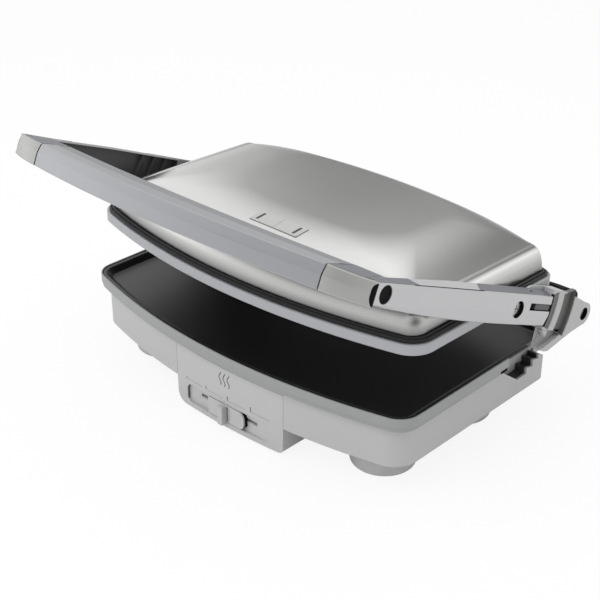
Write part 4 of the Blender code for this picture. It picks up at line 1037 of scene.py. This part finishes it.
def buildBolt(side, hand):
    # A stepped head with a cross recess in the sunk seat, on its shank.
    place = sidePlace(side, arm["pivot"], 0, arm["outer"] - 0.0041)
    profile = [(0, 0.0016), (0.0062, 0.0016), (0.0062, 0), (0.0025, 0), (0.0025, -0.0143), (0, -0.0143)]
    profile = softCorners(profile, (0, 0.0006, 0.0002, 0.0002, 0.0004, 0), 4, False)
    head = turnedShape("bolt", profile, place, 64)
    slots = [
        boxShape("slot", (-w / 2, -l / 2, 0.0007), (w / 2, l / 2, 0.003), place)
        for w, l in ((0.0011, 0.0056), (0.0056, 0.0011))
    ]
    piece = carved(f"pivotBolt_{hand}", head, slots)
    finishPiece(piece, "arms", "zincSteel", [f"arm_pivot_bolt_{hand}"], sharp=30)


def buildPlug(side, hand):
    # A soft black disc, dished by half a millimetre.
    place = sidePlace(side, *arm["plug"], arm["outer"] - 0.0036)
    profile = [(0, 0.0024), (0.0052, 0.0026), (0.0063, 0.0030), (0.0063, 0), (0, 0)]
    mesh = turnedShape("plug", softCorners(profile, (0, 0.0006, 0.0006, 0.0002, 0), 4, False), place, 64)
    addPiece(f"armPlug_{hand}", mesh, "arms", "deepBlack", [f"arm_plug_{hand}"])


inlay = {
    "rear": (0.0610, 0.1660),
    "front": (0.2411, 0.2884),
    "line": (0.1600, 0.2480),
    "slant": 0.0080,
    "hole": (0.1822, 0.0860, 0.0137),
}


def topPlate(name, x, a, level, finish="inlayGrey"):
    # A thin plate on an upper face, from two rows of points, a fifth of a millimetre proud.
    top = np.stack([x, -a, level + 0.00020], axis=-1)
    bottom = np.stack([x, -a, level - 0.0004], axis=-1)
    rows = np.stack([top[:, 0], top[:, 1], bottom[:, 1], bottom[:, 0]])
    return addPiece(name, stripOf(name, rows, armPlace), "arms", finish, sharp=30)


def armTopPlate(name, side, start, end, slantStart, slantEnd, across, finish="inlayGrey"):
    # A thin plate on the arm's sloped top between two runs across it, with slanted ends.
    share = np.linspace(0, 1, 33)[:, None]
    across = np.array([across])
    first, last = start + slantStart * across, end + slantEnd * across
    a = first + (last - first) * share
    outer = arm["outer"] - 0.0003
    x = outer + (arm["inner"] - outer) * across + 0 * a
    level = arm["top"] + (armCrest(a) - arm["top"]) * across
    return topPlate(name, side * x, a, level, finish)


def buildInlay(side, hand):
    # Dark strips let into the arm's sloped top, joined by a fine dark line at the outer edge.
    plate = armTopPlate(f"armInlay_{hand}", side, *inlay["rear"], 0, -inlay["slant"], (0.06, 0.94))
    x, along, up = inlay["hole"]
    place = armPlace @ placeOf(np.eye(3), (side * x, -along, up))
    cutWith(plate, [drumShape("hole", 0.0015, -0.003, 0.003, place, 32)])
    dot = drumShape("dot", 0.0016, -0.00015, 0.00025, place, 32)
    addPiece(f"inlayDot_{hand}", dot, "arms", "deepBlack", sharp=40)
    armTopPlate(f"frontInlay_{hand}", side, *inlay["front"], 0.0045, 0, (0.05, 0.95))
    armTopPlate(f"edgeLine_{hand}", side, *inlay["line"], 0, 0, (0.015, 0.070), "deepBlack")


bracket = {
    "ribInner": 0.0478,
    "ribOuter": 0.0645,
    "grooveOuter": 0.0830,
    "lean": math.radians(13.5),
    "web": 0.0046,
    "mouth": 0.0055,
    "mouthDepth": 0.0040,
    "blackStep": 0.0508,
    "ribStep": 0.0560,
    "ribDepth": 0.0022,
    "ribLean": (-math.radians(15.0), math.radians(17.0)),
}


def ringSector(inner, outer, low, high, steps=24):
    # Part of a flat ring about the pivot, facing the hinge, as an outline in the arm's y and z.
    angle = np.linspace(low, high, steps)
    radius = np.concatenate([np.full(steps, outer), np.full(steps, inner)])
    angle = np.concatenate([angle, angle[::-1]])
    return np.stack([-(arm["pivot"] - radius * np.cos(angle)), radius * np.sin(angle)], axis=-1)


def sectorSlab(side, name, inner, outer, low, high, under, over):
    # A ring sector as a slab between two depths below the bracket's outer face.
    a, b = spanOf(side, arm["outer"] - under, arm["outer"] - over)
    return extrudedShape(name, ringSector(inner, outer, low, high), a, b, alongX, armPlace)


def ribCutter(side):
    # Room in the bracket for its ribs: part of a flat ring, a millimetre wider on the inside.
    b = bracket
    return sectorSlab(side, "ribCutter", b["ribInner"] - 0.0010, b["ribStep"], *b["ribLean"],
                      b["ribDepth"], -0.002)


def buildBracketInlays(side, hand):
    # Painted shade: a grey liner in the groove, a grey band round the arm's end and a darker web floor.
    # Also a black collar at the arm's end, a tooth on the web and a black sleeve.
    b = bracket
    gap = 0.00005
    # Painted shade: a grey liner over the groove's faces.
    lean = (-b["lean"] * 0.99, b["lean"] * 0.99)
    block = sectorSlab(side, "groove", b["ribOuter"] + gap, b["grooveOuter"] - gap, *lean,
                       b["web"] - gap, 0.0008)
    lean = (-b["lean"] * 0.965, b["lean"] * 0.965)
    inside = sectorSlab(side, "inside", b["ribOuter"] + 0.0003, b["grooveOuter"] - 0.0003, *lean,
                        b["web"] - 0.0004, -0.002)
    piece = carved(f"grooveShadeLiner_{hand}", block, [inside])
    finishPiece(piece, "arms", "paintedShadeGrey", sharp=40)
    # Painted shade: a grey band round the arm's end.
    low, high = b["ribLean"]
    mesh = sectorSlab(side, "band", b["blackStep"], b["ribStep"] - gap, low * 0.99, high * 0.99,
                      b["ribDepth"] - gap, 0.0008)
    addPiece(f"endShadeBand_{hand}", mesh, "arms", "paintedShadeGrey", bevel=0.0002, sharp=40)
    mesh = sectorSlab(side, "collar", b["ribInner"] + gap, b["blackStep"] - gap, low * 0.98, high * 0.98,
                      b["ribDepth"] - gap, 0.0014)
    addPiece(f"endCollar_{hand}", mesh, "arms", "deepBlack", bevel=0.0002, sharp=40)
    # Painted shade: a darker floor on the web.
    floor = [(0.0236, -0.0152), (0.0584, -0.0152), (0.0567, -0.0306), (0.0464, -0.0278)]
    low, high = spanOf(side, arm["outer"] - b["web"] + gap, arm["outer"] - b["web"] + 0.0004)
    mesh = extrudedShape("web", [(-a, up) for a, up in floor], low, high, alongX, armPlace)
    addPiece(f"webShadeFloor_{hand}", mesh, "arms", "webShadeGrey", sharp=40)
    tooth = [(0.0600, -0.0153), (0.0514, -0.0207), (0.0500, -0.0153)]
    low, high = spanOf(side, arm["outer"] - b["web"] + 0.0004, arm["outer"] - 0.0004)
    mesh = extrudedShape("tooth", [(-a, up) for a, up in tooth], low, high, alongX, armPlace)
    addPiece(f"webTooth_{hand}", mesh, "arms", "shellPlastic", bevel=0.0003, sharp=40)
    inner, outer, deep = 0.0052, b["mouth"] - 0.00002, -b["mouthDepth"] + gap
    ring = [(inner, deep), (outer, deep), (outer, -0.0004), (inner, -0.0004)]
    mesh = turnedShape("bossSleeve", ring, sidePlace(side, 0.0, 0.0, arm["outer"]), 64)
    addPiece(f"bossSleeve_{hand}", mesh, "arms", "deepBlack", sharp=40)


def buildArms():
    # Each side's arm with what it carries: bolt, plug, inlays, lock, bracket and cap.
    for side, hand in sides:
        buildArm(side, hand)
        buildBolt(side, hand)
        buildPlug(side, hand)
        buildInlay(side, hand)
        softenedNode(f"lock_slider_{hand}", f"lockBar_{hand}", f"lock_{hand}",
                     "darkPlastic", 0.0003)
        softenedNode(f"hinge_bracket_{hand}", f"bracket_{hand}", "arms",
                     "shellPlastic", 0.0007, segments=3, cutters=[ribCutter(side)])
        softenedNode(f"hinge_cover_{hand}", f"hingeCap_{hand}", "arms",
                     "deepBlack", 0.0010, segments=3)
        buildBracketInlays(side, hand)


# Handle
grip = {
    "half": 0.1510,
    "radius": 0.68,
    "backShare": 0.6,
    "front": 0.3004,
    "back": 0.2671,
    "split": 0.2830,
    "bottom": -0.0062,
    "middle": 0.0045,
    "top": 0.0122,
    "topSetback": 0.0022,
    "crown": 0.0131,
    "rearBottom": -0.0020,
    "lip": 0.0060,
    "seam": 0.0011,
    "cornerSetback": 0.0091,
    "cornerLift": 0.0015,
    "cornerEnd": 0.1893,
}


def bowedLoft(name, section, radii, stations):
    # A section carried along the handle; each point moves forward by the bow, less at the back.
    x = np.linspace(-grip["half"], grip["half"], stations)[:, None]
    bow = (grip["half"] ** 2 - x**2) / (2 * grip["radius"])
    ring = softCorners(section, radii, 5)
    part = (ring[None, :, 0] - grip["back"]) / (grip["front"] - grip["back"])
    a = ring[None, :, 0] + bow * (grip["backShare"] + (1 - grip["backShare"]) * part)
    up = np.broadcast_to(ring[None, :, 1], a.shape)
    return skinOf(name, toWorld(np.stack([np.broadcast_to(x, a.shape), -a, up], axis=-1), armPlace))


def buildGrip():
    # Two bowed halves that meet at the split, each its own section carried along the handle.
    g = grip
    front = [
        (g["front"], g["bottom"]),
        (g["front"], g["middle"]),
        (g["front"] - g["topSetback"], g["top"]),
        (g["split"] + 0.0003, g["crown"]),
        (g["split"] + 0.0003, g["rearBottom"]),
    ]
    mesh = bowedLoft("gripFront", front, (0.0012, 0.0012, 0.0014, 0.0004, 0.0006), 49)
    addPiece("gripFront", mesh, "arms", "gripPaint", ["handle_grip"],
             bevel=0.0003, sharp=45)
    rear = [
        (g["split"], g["rearBottom"]),
        (g["split"], g["crown"]),
        (g["back"], g["crown"]),
        (g["back"], g["rearBottom"] + g["lip"]),
        (g["back"] + g["lip"] / 2, g["rearBottom"]),
    ]
    mesh = bowedLoft("gripRear", rear, (0.0006, 0.0004, 0.0016, 0.0012, 0.0012), 49)
    addPiece("gripRear", mesh, "arms", "gripRearPaint", ["grip_rear_cover"],
             bevel=0.0003, sharp=45)


def cornerDepth(a, share):
    # Depth along the arm, drawn back towards the rear edge by the square of the run outwards.
    g = grip
    return g["back"] + (a - g["back"]) * (1 - g["cornerSetback"] * share**2 / (g["front"] - g["back"]))


def cornerSection(shrink):
    # The grip's own section, drawn in on its outer sides by shrink.
    g = grip
    section = [
        (g["front"] - shrink, g["bottom"] + shrink),
        (g["front"] - shrink, g["middle"]),
        (g["front"] - shrink - g["topSetback"], g["top"] - shrink),
        (g["back"], g["crown"] - shrink),
        (g["back"], g["rearBottom"] + shrink),
    ]
    return softCorners(section, (0.0012, 0.0012, 0.0014, 0.0010, 0.0008), 5)


def cornerMesh(side, shrink=0.0):
    # The grip's section carried to the arm's end, its front turning back by the square of the run.
    g = grip
    share = np.linspace(0, 1, 17)[:, None]
    start = g["half"] + g["seam"]
    x = start + (g["cornerEnd"] - shrink - start) * share
    ring = cornerSection(shrink)
    drop = np.clip(-ring[:, 1] / 0.0062, 0, 1)[None] * (ring[:, 0] > 0.29)[None]
    a = cornerDepth(ring[None, :, 0], share)
    up = ring[None, :, 1] + g["cornerLift"] * share * drop
    points = np.stack([side * np.broadcast_to(x, a.shape), -a, up], axis=-1)
    return skinOf("corner", toWorld(points, armPlace))


corner = {
    "past": 0.1943,
    "seatFrom": 0.1782,
    "seatReach": (0.2631, 0.2891),
    "gapFrom": 0.1812,
    "gapCentre": (0.2889, 0.0026),
    "gapHalf": (0.0036, 0.0092),
    "plateEdge": 0.0016,
    "plateStep": 0.1780,
    "plateRear": 0.2895,
}


def buildCorner(side, hand):
    # The corner piece over the arm's end: a black crescent between the two, a seam, a dark top plate.
    g, c = grip, corner
    low, high = spanOf(side, c["seatFrom"], c["past"])
    near, far = c["seatReach"]
    seat = boxShape("seat", (low, -far, -0.0102), (high, -near, 0.0190), armPlace)
    angle = np.linspace(0, 2 * math.pi, 48, endpoint=False)
    along, up = c["gapCentre"]
    wide, tall = c["gapHalf"]
    crescent = np.stack([-(along + wide * np.cos(angle)), up + tall * np.sin(angle)], axis=-1)
    low, high = spanOf(side, c["gapFrom"], c["past"])
    bite = extrudedShape("bite", crescent, low, high, alongX, armPlace)
    piece = carved(f"gripCorner_{hand}", cornerMesh(side), [seat, bite])
    finishPiece(piece, "arms", "cornerCast", [f"handle_corner_{hand}"], sharp=45)
    low, high = spanOf(side, c["gapFrom"] + 0.0002, c["past"])
    inner = extrudedShape("inner", crescent * (1, 0.985) + (0, 0.00005), low, high, alongX, armPlace)
    filler = carved("filler", cornerMesh(side, 0.0004), [inner], "INTERSECT")
    mesh = filler.data
    bpy.data.objects.remove(filler)
    piece = carved(f"cornerGap_{hand}", mesh, [seat])
    finishPiece(piece, "arms", "deepBlack", sharp=45)
    low, high = spanOf(side, g["half"] - 0.0002, g["half"] + g["seam"] + 0.0002)
    ring = cornerSection(0.0005) * (-1, 1)
    seam = extrudedShape("seam", ring, low, high, alongX, armPlace)
    addPiece(f"cornerSeam_{hand}", seam, "arms", "deepBlack", sharp=45)
    share = np.linspace(0.012, 0.99, 15)[:, None]
    x = g["half"] + g["seam"] + (g["cornerEnd"] - g["half"] - g["seam"]) * share
    rear = np.where(x < c["plateStep"], g["back"] + c["plateEdge"], c["plateRear"])
    front = cornerDepth(g["front"] - g["topSetback"] - c["plateEdge"], share)
    a = np.concatenate([front, rear], axis=1)
    brow = cornerDepth(g["front"] - g["topSetback"], share)
    level = g["top"] + (g["crown"] - g["top"]) * (brow - a) / (brow - g["back"])
    keep = a[:, 0] - a[:, 1] > 0.0004
    topPlate(f"cornerPlate_{hand}", side * np.broadcast_to(x, a.shape)[keep], a[keep], level[keep])


buildArms()
buildGrip()
for sideSign, handName in sides:
    buildCorner(sideSign, handName)
print("arms and handle built")

# Lid
lid = {
    "halfWidth": 0.175,
    "front": -0.1268,
    "rear": 0.0926,
    "frontRadius": 0.5956,
    "rearRadius": 0.5956,
    "frontCorner": 0.0220,
    "rearCorner": 0.0100,
}
cover = {
    "inset": 0.0069,
    "foot": 0.0042,
    "rise": 0.0205,
    "shoulder": 0.0131,
    "crown": 0.0100,
    "crownRun": 0.0700,
    "rearShare": 0.20,
    "fallShare": 0.12,
    "sheet": 0.0009,
}
indicator = {
    "x": 0.0049,
    "y": -0.0664,
    "length": 0.0506,
    "width": 0.0153,
    "proud": 0.0006,
    "lightSpacing": 0.0394,
    "lightWidth": 0.0022,
    "lightLength": 0.0103,
}


def coverHeight(inset):
    # Over the shoulder, rise * sqrt(1 - (1 - i/shoulder)^3); then a crown that flattens as a square.
    inset = np.asarray(inset, float)
    near = 1 - np.clip(inset / cover["shoulder"], 0, 1)
    far = 1 - np.clip((inset - cover["shoulder"]) / cover["crownRun"], 0, 1)
    return cover["rise"] * np.sqrt(1 - near**3) + cover["crown"] * (1 - far**2)


def coverFall(y):
    # One less a share that grows evenly from the lid's front to its rear.
    return 1 - cover["fallShare"] * (y - lid["front"]) / (lid["rear"] - lid["front"])


def coverLift(y, z):
    # A height above the cover's foot, lowered towards the rear.
    return cover["foot"] + z * coverFall(y)


def coverLevel(y):
    # The cover's own top at a distance back, from its height over the inset there.
    return coverLift(y, coverHeight(y - lid["front"] - cover["inset"]))


def coverSlab(name, x, y, length, width, under, over, radius=0.0012):
    # A slab with round corners that follows the cover's slope.
    outline = roundedRectangle(x - length / 2, y - width / 2, x + length / 2, y + width / 2,
                               (radius,) * 4, 6)
    x, y = outline.T
    rows = [np.stack([x, y, coverLevel(y) + level], axis=-1) for level in (under, over)]
    return skinOf(name, toWorld(np.stack(rows), lidPlace))


def buildCover():
    # Insets packed closely over the shoulder and loosely over the crown; the rear is drawn in less.
    shoulder = cover["shoulder"] * (1 - np.cos(np.linspace(0, math.pi / 2, 19)))
    crown = cover["shoulder"] + cover["crownRun"] * np.linspace(0, 1, 19)[1:] ** 1.2
    crease = cover["shoulder"] + np.array([-0.0004, 0, 0.0004])
    inset = np.concatenate([shoulder[:-1], crease, crown])
    shape = dict(lid, rearShare=cover["rearShare"], rearOffset=-cover["inset"] * (1 - cover["rearShare"]),
                 cornerGrowth=0.5, growFrom=cover["inset"] + cover["shoulder"])
    outer = np.stack([cover["inset"] + inset, coverHeight(inset)], axis=-1)
    foot = cover["inset"] + cover["sheet"]
    inner = np.stack([foot + inset, coverHeight(inset) - cover["sheet"]], axis=-1)[1:]
    profile = np.concatenate([outer[::-1], [(foot, 0)], inner])
    mesh = sweptRing("lidCover", shape, profile, lidPlace, closed=False, steps=40, lift=coverLift)
    gap = layout["clearance"]
    window = coverSlab("window", indicator["x"], indicator["y"], indicator["length"] + 2 * gap,
                       indicator["width"] + 2 * gap, -0.0205, 0.004, 0.0014)
    piece = carved("lidCover", mesh, [window])
    finishPiece(piece, "lid", "brushedSteel", ["lid_cover"], sharp=40)
    # Painted shade: a thin dark strip along the crease between shoulder and crown, in place of the shadow
    # line there.
    run = cover["shoulder"] + np.array([-0.00030, 0, 0.00030, 0.00030, -0.00030])
    level = coverHeight(run) - np.array([0, 0.00008, 0, 0.0003, 0.0003]) + 0.00003
    profile = np.stack([cover["inset"] + run, level], axis=-1)
    mesh = sweptRing("paintedCreaseShadow", shape, profile, lidPlace, steps=40, lift=coverLift)
    addPiece("paintedCreaseShadow", mesh, "lid", "steelShade", sharp=50)


def buildIndicator():
    # A thin plate in two halves with a fine joint, and a slit light near each end.
    i = indicator
    mesh = coverSlab("plate", i["x"], i["y"], i["length"], i["width"], i["proud"] - 0.0024, i["proud"])
    slits = []
    for sign, node, name in ((-1, "power_light", "powerLens"), (1, "ready_light", "readyLens")):
        middle = i["x"] + sign * i["lightSpacing"] / 2
        half = i["lightWidth"] / 2
        slits.append(coverSlab("slit", middle, i["y"], i["lightWidth"] + 0.0004, i["lightLength"] + 0.0004,
                               -0.005, 0.004, half))
        lens = coverSlab(name, middle, i["y"], i["lightWidth"], i["lightLength"],
                         i["proud"] - 0.0024, i["proud"] - 0.0004, half * 0.95)
        addPiece(name, lens, "lid", "smokedLens", [node], bevel=0.0002, sharp=40)
    slits.append(coverSlab("joint", i["x"], i["y"], 0.0003, i["width"] + 0.002,
                           i["proud"] - 0.0004, 0.004, 0.0001))
    piece = carved("indicatorPlate", mesh, slits)
    finishPiece(piece, "lid", "indicatorSatin", ["indicator_plate"],
                bevel=0.0002, sharp=40)


def buildLidEdge():
    # The lid's band with its pivot holes, and the lipped gasket, each a section swept round.
    profile = [(0, 0.0015), (0, -0.0073), (0.0060, -0.0073), (0.0060, 0.0015)]
    profile = softCorners(profile, (0.0008, 0.0010, 0.0004, 0.0004), 5)
    mesh = sweptRing("lidBand", lid, profile, lidPlace, steps=40)
    piece = carved("lidBand", mesh, pivotHoles())
    finishPiece(piece, "lid", "bandPaint", ["lid_rim_band"], sharp=30)
    seal = [
        (0.0022, 0.0018),
        (0.0020, 0.0033),
        (0.0036, 0.0042),
        (0.0044, 0.0030),
        (0.0048, 0.0044),
        (0.0062, 0.0050),
        (0.0067, 0.0042),
        (0.0067, 0.0039),
        (0.0120, 0.0039),
        (0.0120, 0.0018),
    ]
    radii = (0.0003, 0.0010, 0.0010, 0.0003, 0.0010, 0.0010, 0.0003, 0.0001, 0.0003, 0.0003)
    mesh = sweptRing("lidSeal", lid, softCorners(seal, radii, 5), lidPlace, steps=40)
    piece = carved("lidSeal", mesh, pivotHoles())
    finishPiece(piece, "lid", "sealRubber", ["lid_gasket"], sharp=50)


def pivotHoles():
    # Room for the shank of each pivot bolt.
    holes = []
    for side, _ in sides:
        place = lidPlace @ placeOf(facingSide(side), (side * lid["halfWidth"], 0, 0))
        holes.append(drumShape("hole", 0.0028, -0.0058, 0.004, place, 40))
    return holes


def buildUpperPlate():
    # A stepped edge swept round the lid's outline, closed flat above and below.
    profile = [(0.0063, 0.0010), (0.0063, -0.0050), (0.0125, -0.0050), (0.0135, -0.0095)]
    profile = softCorners(profile, (0.0002, 0.0006, 0.0010, 0), 4, False)
    mesh = sweptRing("upperPlate", lid, profile, lidPlace, closed=False, steps=40)
    addPiece("pressPlate", mesh, "lid", "pressCoat", ["upper_plate"], bevel=0.0006, sharp=40)


buildCover()
buildIndicator()
buildLidEdge()
buildUpperPlate()
print("lid built")

# Inner CAD nodes that stay, with their finishes
innerFinish = {
    "lower_heating_element": "zincSteel",
    "upper_heating_element": "zincSteel",
    "lower_reflector": "zincSteel",
    "upper_reflector": "zincSteel",
    "thermostat": "darkPlastic",
    "terminal_block": "blackPlastic",
}
for nodeName, finishName in innerFinish.items():
    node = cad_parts[nodeName]
    for materialSlot in node.material_slots:
        materialSlot.material = paint[finishName]
    if not node.material_slots:
        node.data.materials.append(paint[finishName])
print("inner nodes finished")

# Camera, floor, lamps and surroundings
view = {
    "location": (0.6451, -0.67618, 0.5850),
    "turn": (90 - 27.22, 0, 43.83),
    "lens": 77.334,
    "shiftX": 0.018833,
    "shiftY": -0.040833,
}


def buildCamera():
    # A camera at the matched place, turned and shifted as the view's values say.
    data = bpy.data.cameras.new("photoView")
    camera = bpy.data.objects.new("photoView", data)
    bpy.context.scene.collection.objects.link(camera)
    camera.location = view["location"]
    camera.rotation_euler = [math.radians(a) for a in view["turn"]]
    data.sensor_width = 36
    data.lens = view["lens"]
    data.shift_x, data.shift_y = view["shiftX"], view["shiftY"]
    bpy.context.scene.camera = camera


def mixedWith(nodes, links, factor, first, second):
    # A mix of two shaders by a fixed share or a linked value.
    mix = nodes.new("ShaderNodeMixShader")
    if isinstance(factor, float):
        mix.inputs[0].default_value = factor
    else:
        links.new(factor, mix.inputs[0])
    links.new(first, mix.inputs[1])
    links.new(second, mix.inputs[2])
    return mix.outputs[0]


def buildSurroundings():
    # A world that is white to the camera, gloss and glass, and plainer as a light.
    world = bpy.data.worlds.new("studio")
    bpy.context.scene.world = world
    world.use_nodes = True
    nodes, links = world.node_tree.nodes, world.node_tree.links
    nodes.clear()
    ambient = nodes.new("ShaderNodeBackground")
    ambient.inputs["Color"].default_value = (1, 1, 1, 1)
    ambient.inputs["Strength"].default_value = studio["ambient"]
    white = nodes.new("ShaderNodeBackground")
    white.inputs["Color"].default_value = (1, 1, 1, 1)
    white.inputs["Strength"].default_value = 1
    path = nodes.new("ShaderNodeLightPath")
    seen = path.outputs["Is Camera Ray"]
    for other in ("Is Glossy Ray", "Is Transmission Ray"):
        either = nodes.new("ShaderNodeMath")
        either.operation = "MAXIMUM"
        links.new(seen, either.inputs[0])
        links.new(path.outputs[other], either.inputs[1])
        seen = either.outputs[0]
    output = nodes.new("ShaderNodeOutputWorld")
    links.new(mixedWith(nodes, links, seen, ambient.outputs[0], white.outputs[0]), output.inputs[0])


studio = {
    "ambient": 0.70,
    "floorTone": 0.95,
    "floorGlow": 0.88,
    "floorReach": 1.8,
    "keyPower": 10.0,
    "keySize": 1.1,
    "keyPlace": (-0.35, -1.15, 1.35),
    "topPower": 6.0,
    "topSize": 1.3,
    "topPlace": (0.25, 0.15, 1.7),
    "domeRadius": 5.0,
    "domeGlow": 0.95,
}
# Soft panels that metal reflects: direction, how much lighter or darker, and how narrow
softPanels = {
    "rearGrey": ((-0.600, 0.718, 0.352), -1.00, 80.0),
    "rearMidGrey": ((-0.430, 0.825, 0.370), -0.50, 60.0),
    "rearRightGrey": ((-0.230, 0.790, 0.565), -0.88, 45.0),
    "frontRightGrey": ((-0.250, -0.740, 0.630), -0.90, 10.0),
    "rightLowGrey": ((0.910, -0.400, -0.040), -0.90, 5.0),
    "highWhite": ((-0.510, 0.655, 0.560), 0.95, 60.0),
    "highGrey": ((-0.602, 0.567, 0.562), -0.60, 160.0),
    "middleGrey": ((-0.587, 0.637, 0.500), -0.53, 160.0),
    "outlineGrey": ((-0.729, 0.672, 0.132), -0.60, 160.0),
    "creaseGrey": ((-0.419, 0.774, 0.475), -0.12, 160.0),
    "frontWhite": ((-0.563, 0.561, 0.607), 0.32, 30.0),
    "rightWhite": ((0.400, 0.750, 0.530), 0.50, 30.0),
    "leftWhite": ((-0.800, 0.520, 0.300), 0.30, 40.0),
    "leftLowWhite": ((-0.910, -0.400, 0.100), 0.60, 12.0),
}


def plainMaterial(name, tone, rough, glow=0.0):
    # A matt surface, which glows evenly to the camera by the share given.
    material = bpy.data.materials.new(name)
    material.use_nodes = True
    nodes, links = material.node_tree.nodes, material.node_tree.links
    nodes.clear()
    matt = nodes.new("ShaderNodeBsdfDiffuse")
    matt.inputs["Color"].default_value = (tone, tone, tone, 1)
    matt.inputs["Roughness"].default_value = rough
    output = nodes.new("ShaderNodeOutputMaterial")
    surface = matt.outputs[0]
    if glow:
        even = nodes.new("ShaderNodeEmission")
        even.inputs["Strength"].default_value = 1
        path = nodes.new("ShaderNodeLightPath")
        part = nodes.new("ShaderNodeMath")
        part.operation = "MULTIPLY"
        part.inputs[1].default_value = glow
        links.new(path.outputs["Is Camera Ray"], part.inputs[0])
        surface = mixedWith(nodes, links, part.outputs[0], matt.outputs[0], even.outputs[0])
    links.new(surface, output.inputs[0])
    return material


def addStage(name, points, material):
    # One four-sided face of the studio, kept out of the object itself.
    mesh = bpy.data.meshes.new(name)
    mesh.from_pydata(points, [], [(0, 1, 2, 3)])
    thing = bpy.data.objects.new(name, mesh)
    bpy.context.scene.collection.objects.link(thing)
    mesh.materials.append(material)
    return thing


def addLamp(name, place, size, power):
    # A square lamp aimed at a spot 0.1 m above the floor's middle: its z axis is the unit line from
    # that spot to the lamp.
    data = bpy.data.lights.new(name, "AREA")
    data.shape = "SQUARE"
    data.size = size
    data.energy = power
    lamp = bpy.data.objects.new(name, data)
    bpy.context.scene.collection.objects.link(lamp)
    lamp.visible_glossy = False
    lamp.location = place
    aim = np.array((0.0, 0.0, 0.1)) - np.array(place)
    z = -aim / np.linalg.norm(aim)
    x = np.cross((0, 0, 1), z)
    x /= np.linalg.norm(x)
    lamp.rotation_euler = Matrix(np.stack([x, np.cross(z, x), z], axis=1).tolist()).to_euler()


def buildDome():
    # A dome that only gloss sees: an even white with soft panels, each a bell of the angle from its
    # direction.
    theta = np.linspace(0, math.pi * 0.54, 13)[1:, None]
    phi = np.linspace(0, 2 * math.pi, 48, endpoint=False)[None]
    radius = studio["domeRadius"]
    z = np.broadcast_to(radius * np.cos(theta), (12, 48))
    wide = radius * np.sin(theta)
    rows = np.stack([wide * np.cos(phi), wide * np.sin(phi), z], axis=-1)
    mesh = meshOf("dome", rows, gridFaces(12, 48, False, True), [np.arange(48)[::-1]])
    mesh.shade_smooth()
    material = bpy.data.materials.new("softPanels")
    material.use_nodes = True
    nodes, links = material.node_tree.nodes, material.node_tree.links
    nodes.clear()
    coordinates = nodes.new("ShaderNodeTexCoord")
    direction = nodes.new("ShaderNodeVectorMath")
    direction.operation = "NORMALIZE"
    links.new(coordinates.outputs["Object"], direction.inputs[0])
    total = None
    for centre, strength, narrow in softPanels.values():
        towards = nodes.new("ShaderNodeVectorMath")
        towards.operation = "DOT_PRODUCT"
        towards.inputs[1].default_value = np.array(centre) / np.linalg.norm(centre)
        links.new(direction.outputs[0], towards.inputs[0])
        chain = towards.outputs["Value"]
        bell = (("SUBTRACT", 1.0), ("MULTIPLY", narrow), ("EXPONENT", 0.0), ("MULTIPLY", strength))
        for operation, value in bell:
            step = nodes.new("ShaderNodeMath")
            step.operation = operation
            links.new(chain, step.inputs[0])
            step.inputs[1].default_value = value
            chain = step.outputs[0]
        join = nodes.new("ShaderNodeMath")
        join.operation = "ADD"
        join.inputs[1].default_value = studio["domeGlow"]
        links.new(chain, join.inputs[0])
        if total is not None:
            links.new(total, join.inputs[1])
        total = join.outputs[0]
    glow = nodes.new("ShaderNodeEmission")
    links.new(total, glow.inputs["Strength"])
    output = nodes.new("ShaderNodeOutputMaterial")
    links.new(glow.outputs[0], output.inputs[0])
    mesh.materials.append(material)
    dome = bpy.data.objects.new("dome", mesh)
    bpy.context.scene.collection.objects.link(dome)
    dome.visible_camera = dome.visible_diffuse = dome.visible_shadow = dome.visible_transmission = False


def buildStudio():
    # The dome, the floor and the lamps.
    buildDome()
    reach = studio["floorReach"]
    floor = [(-reach, -reach, 0), (reach, -reach, 0), (reach, reach, 0), (-reach, reach, 0)]
    addStage("floor", floor, plainMaterial("floorWhite", studio["floorTone"], 0.0, studio["floorGlow"]))
    addLamp("keyLamp", studio["keyPlace"], studio["keySize"], studio["keyPower"])
    addLamp("topLamp", studio["topPlace"], studio["topSize"], studio["topPower"])


buildCamera()
buildSurroundings()
buildStudio()
bpy.context.scene.view_settings.view_transform = "Standard"
print("camera, floor and lamps placed")
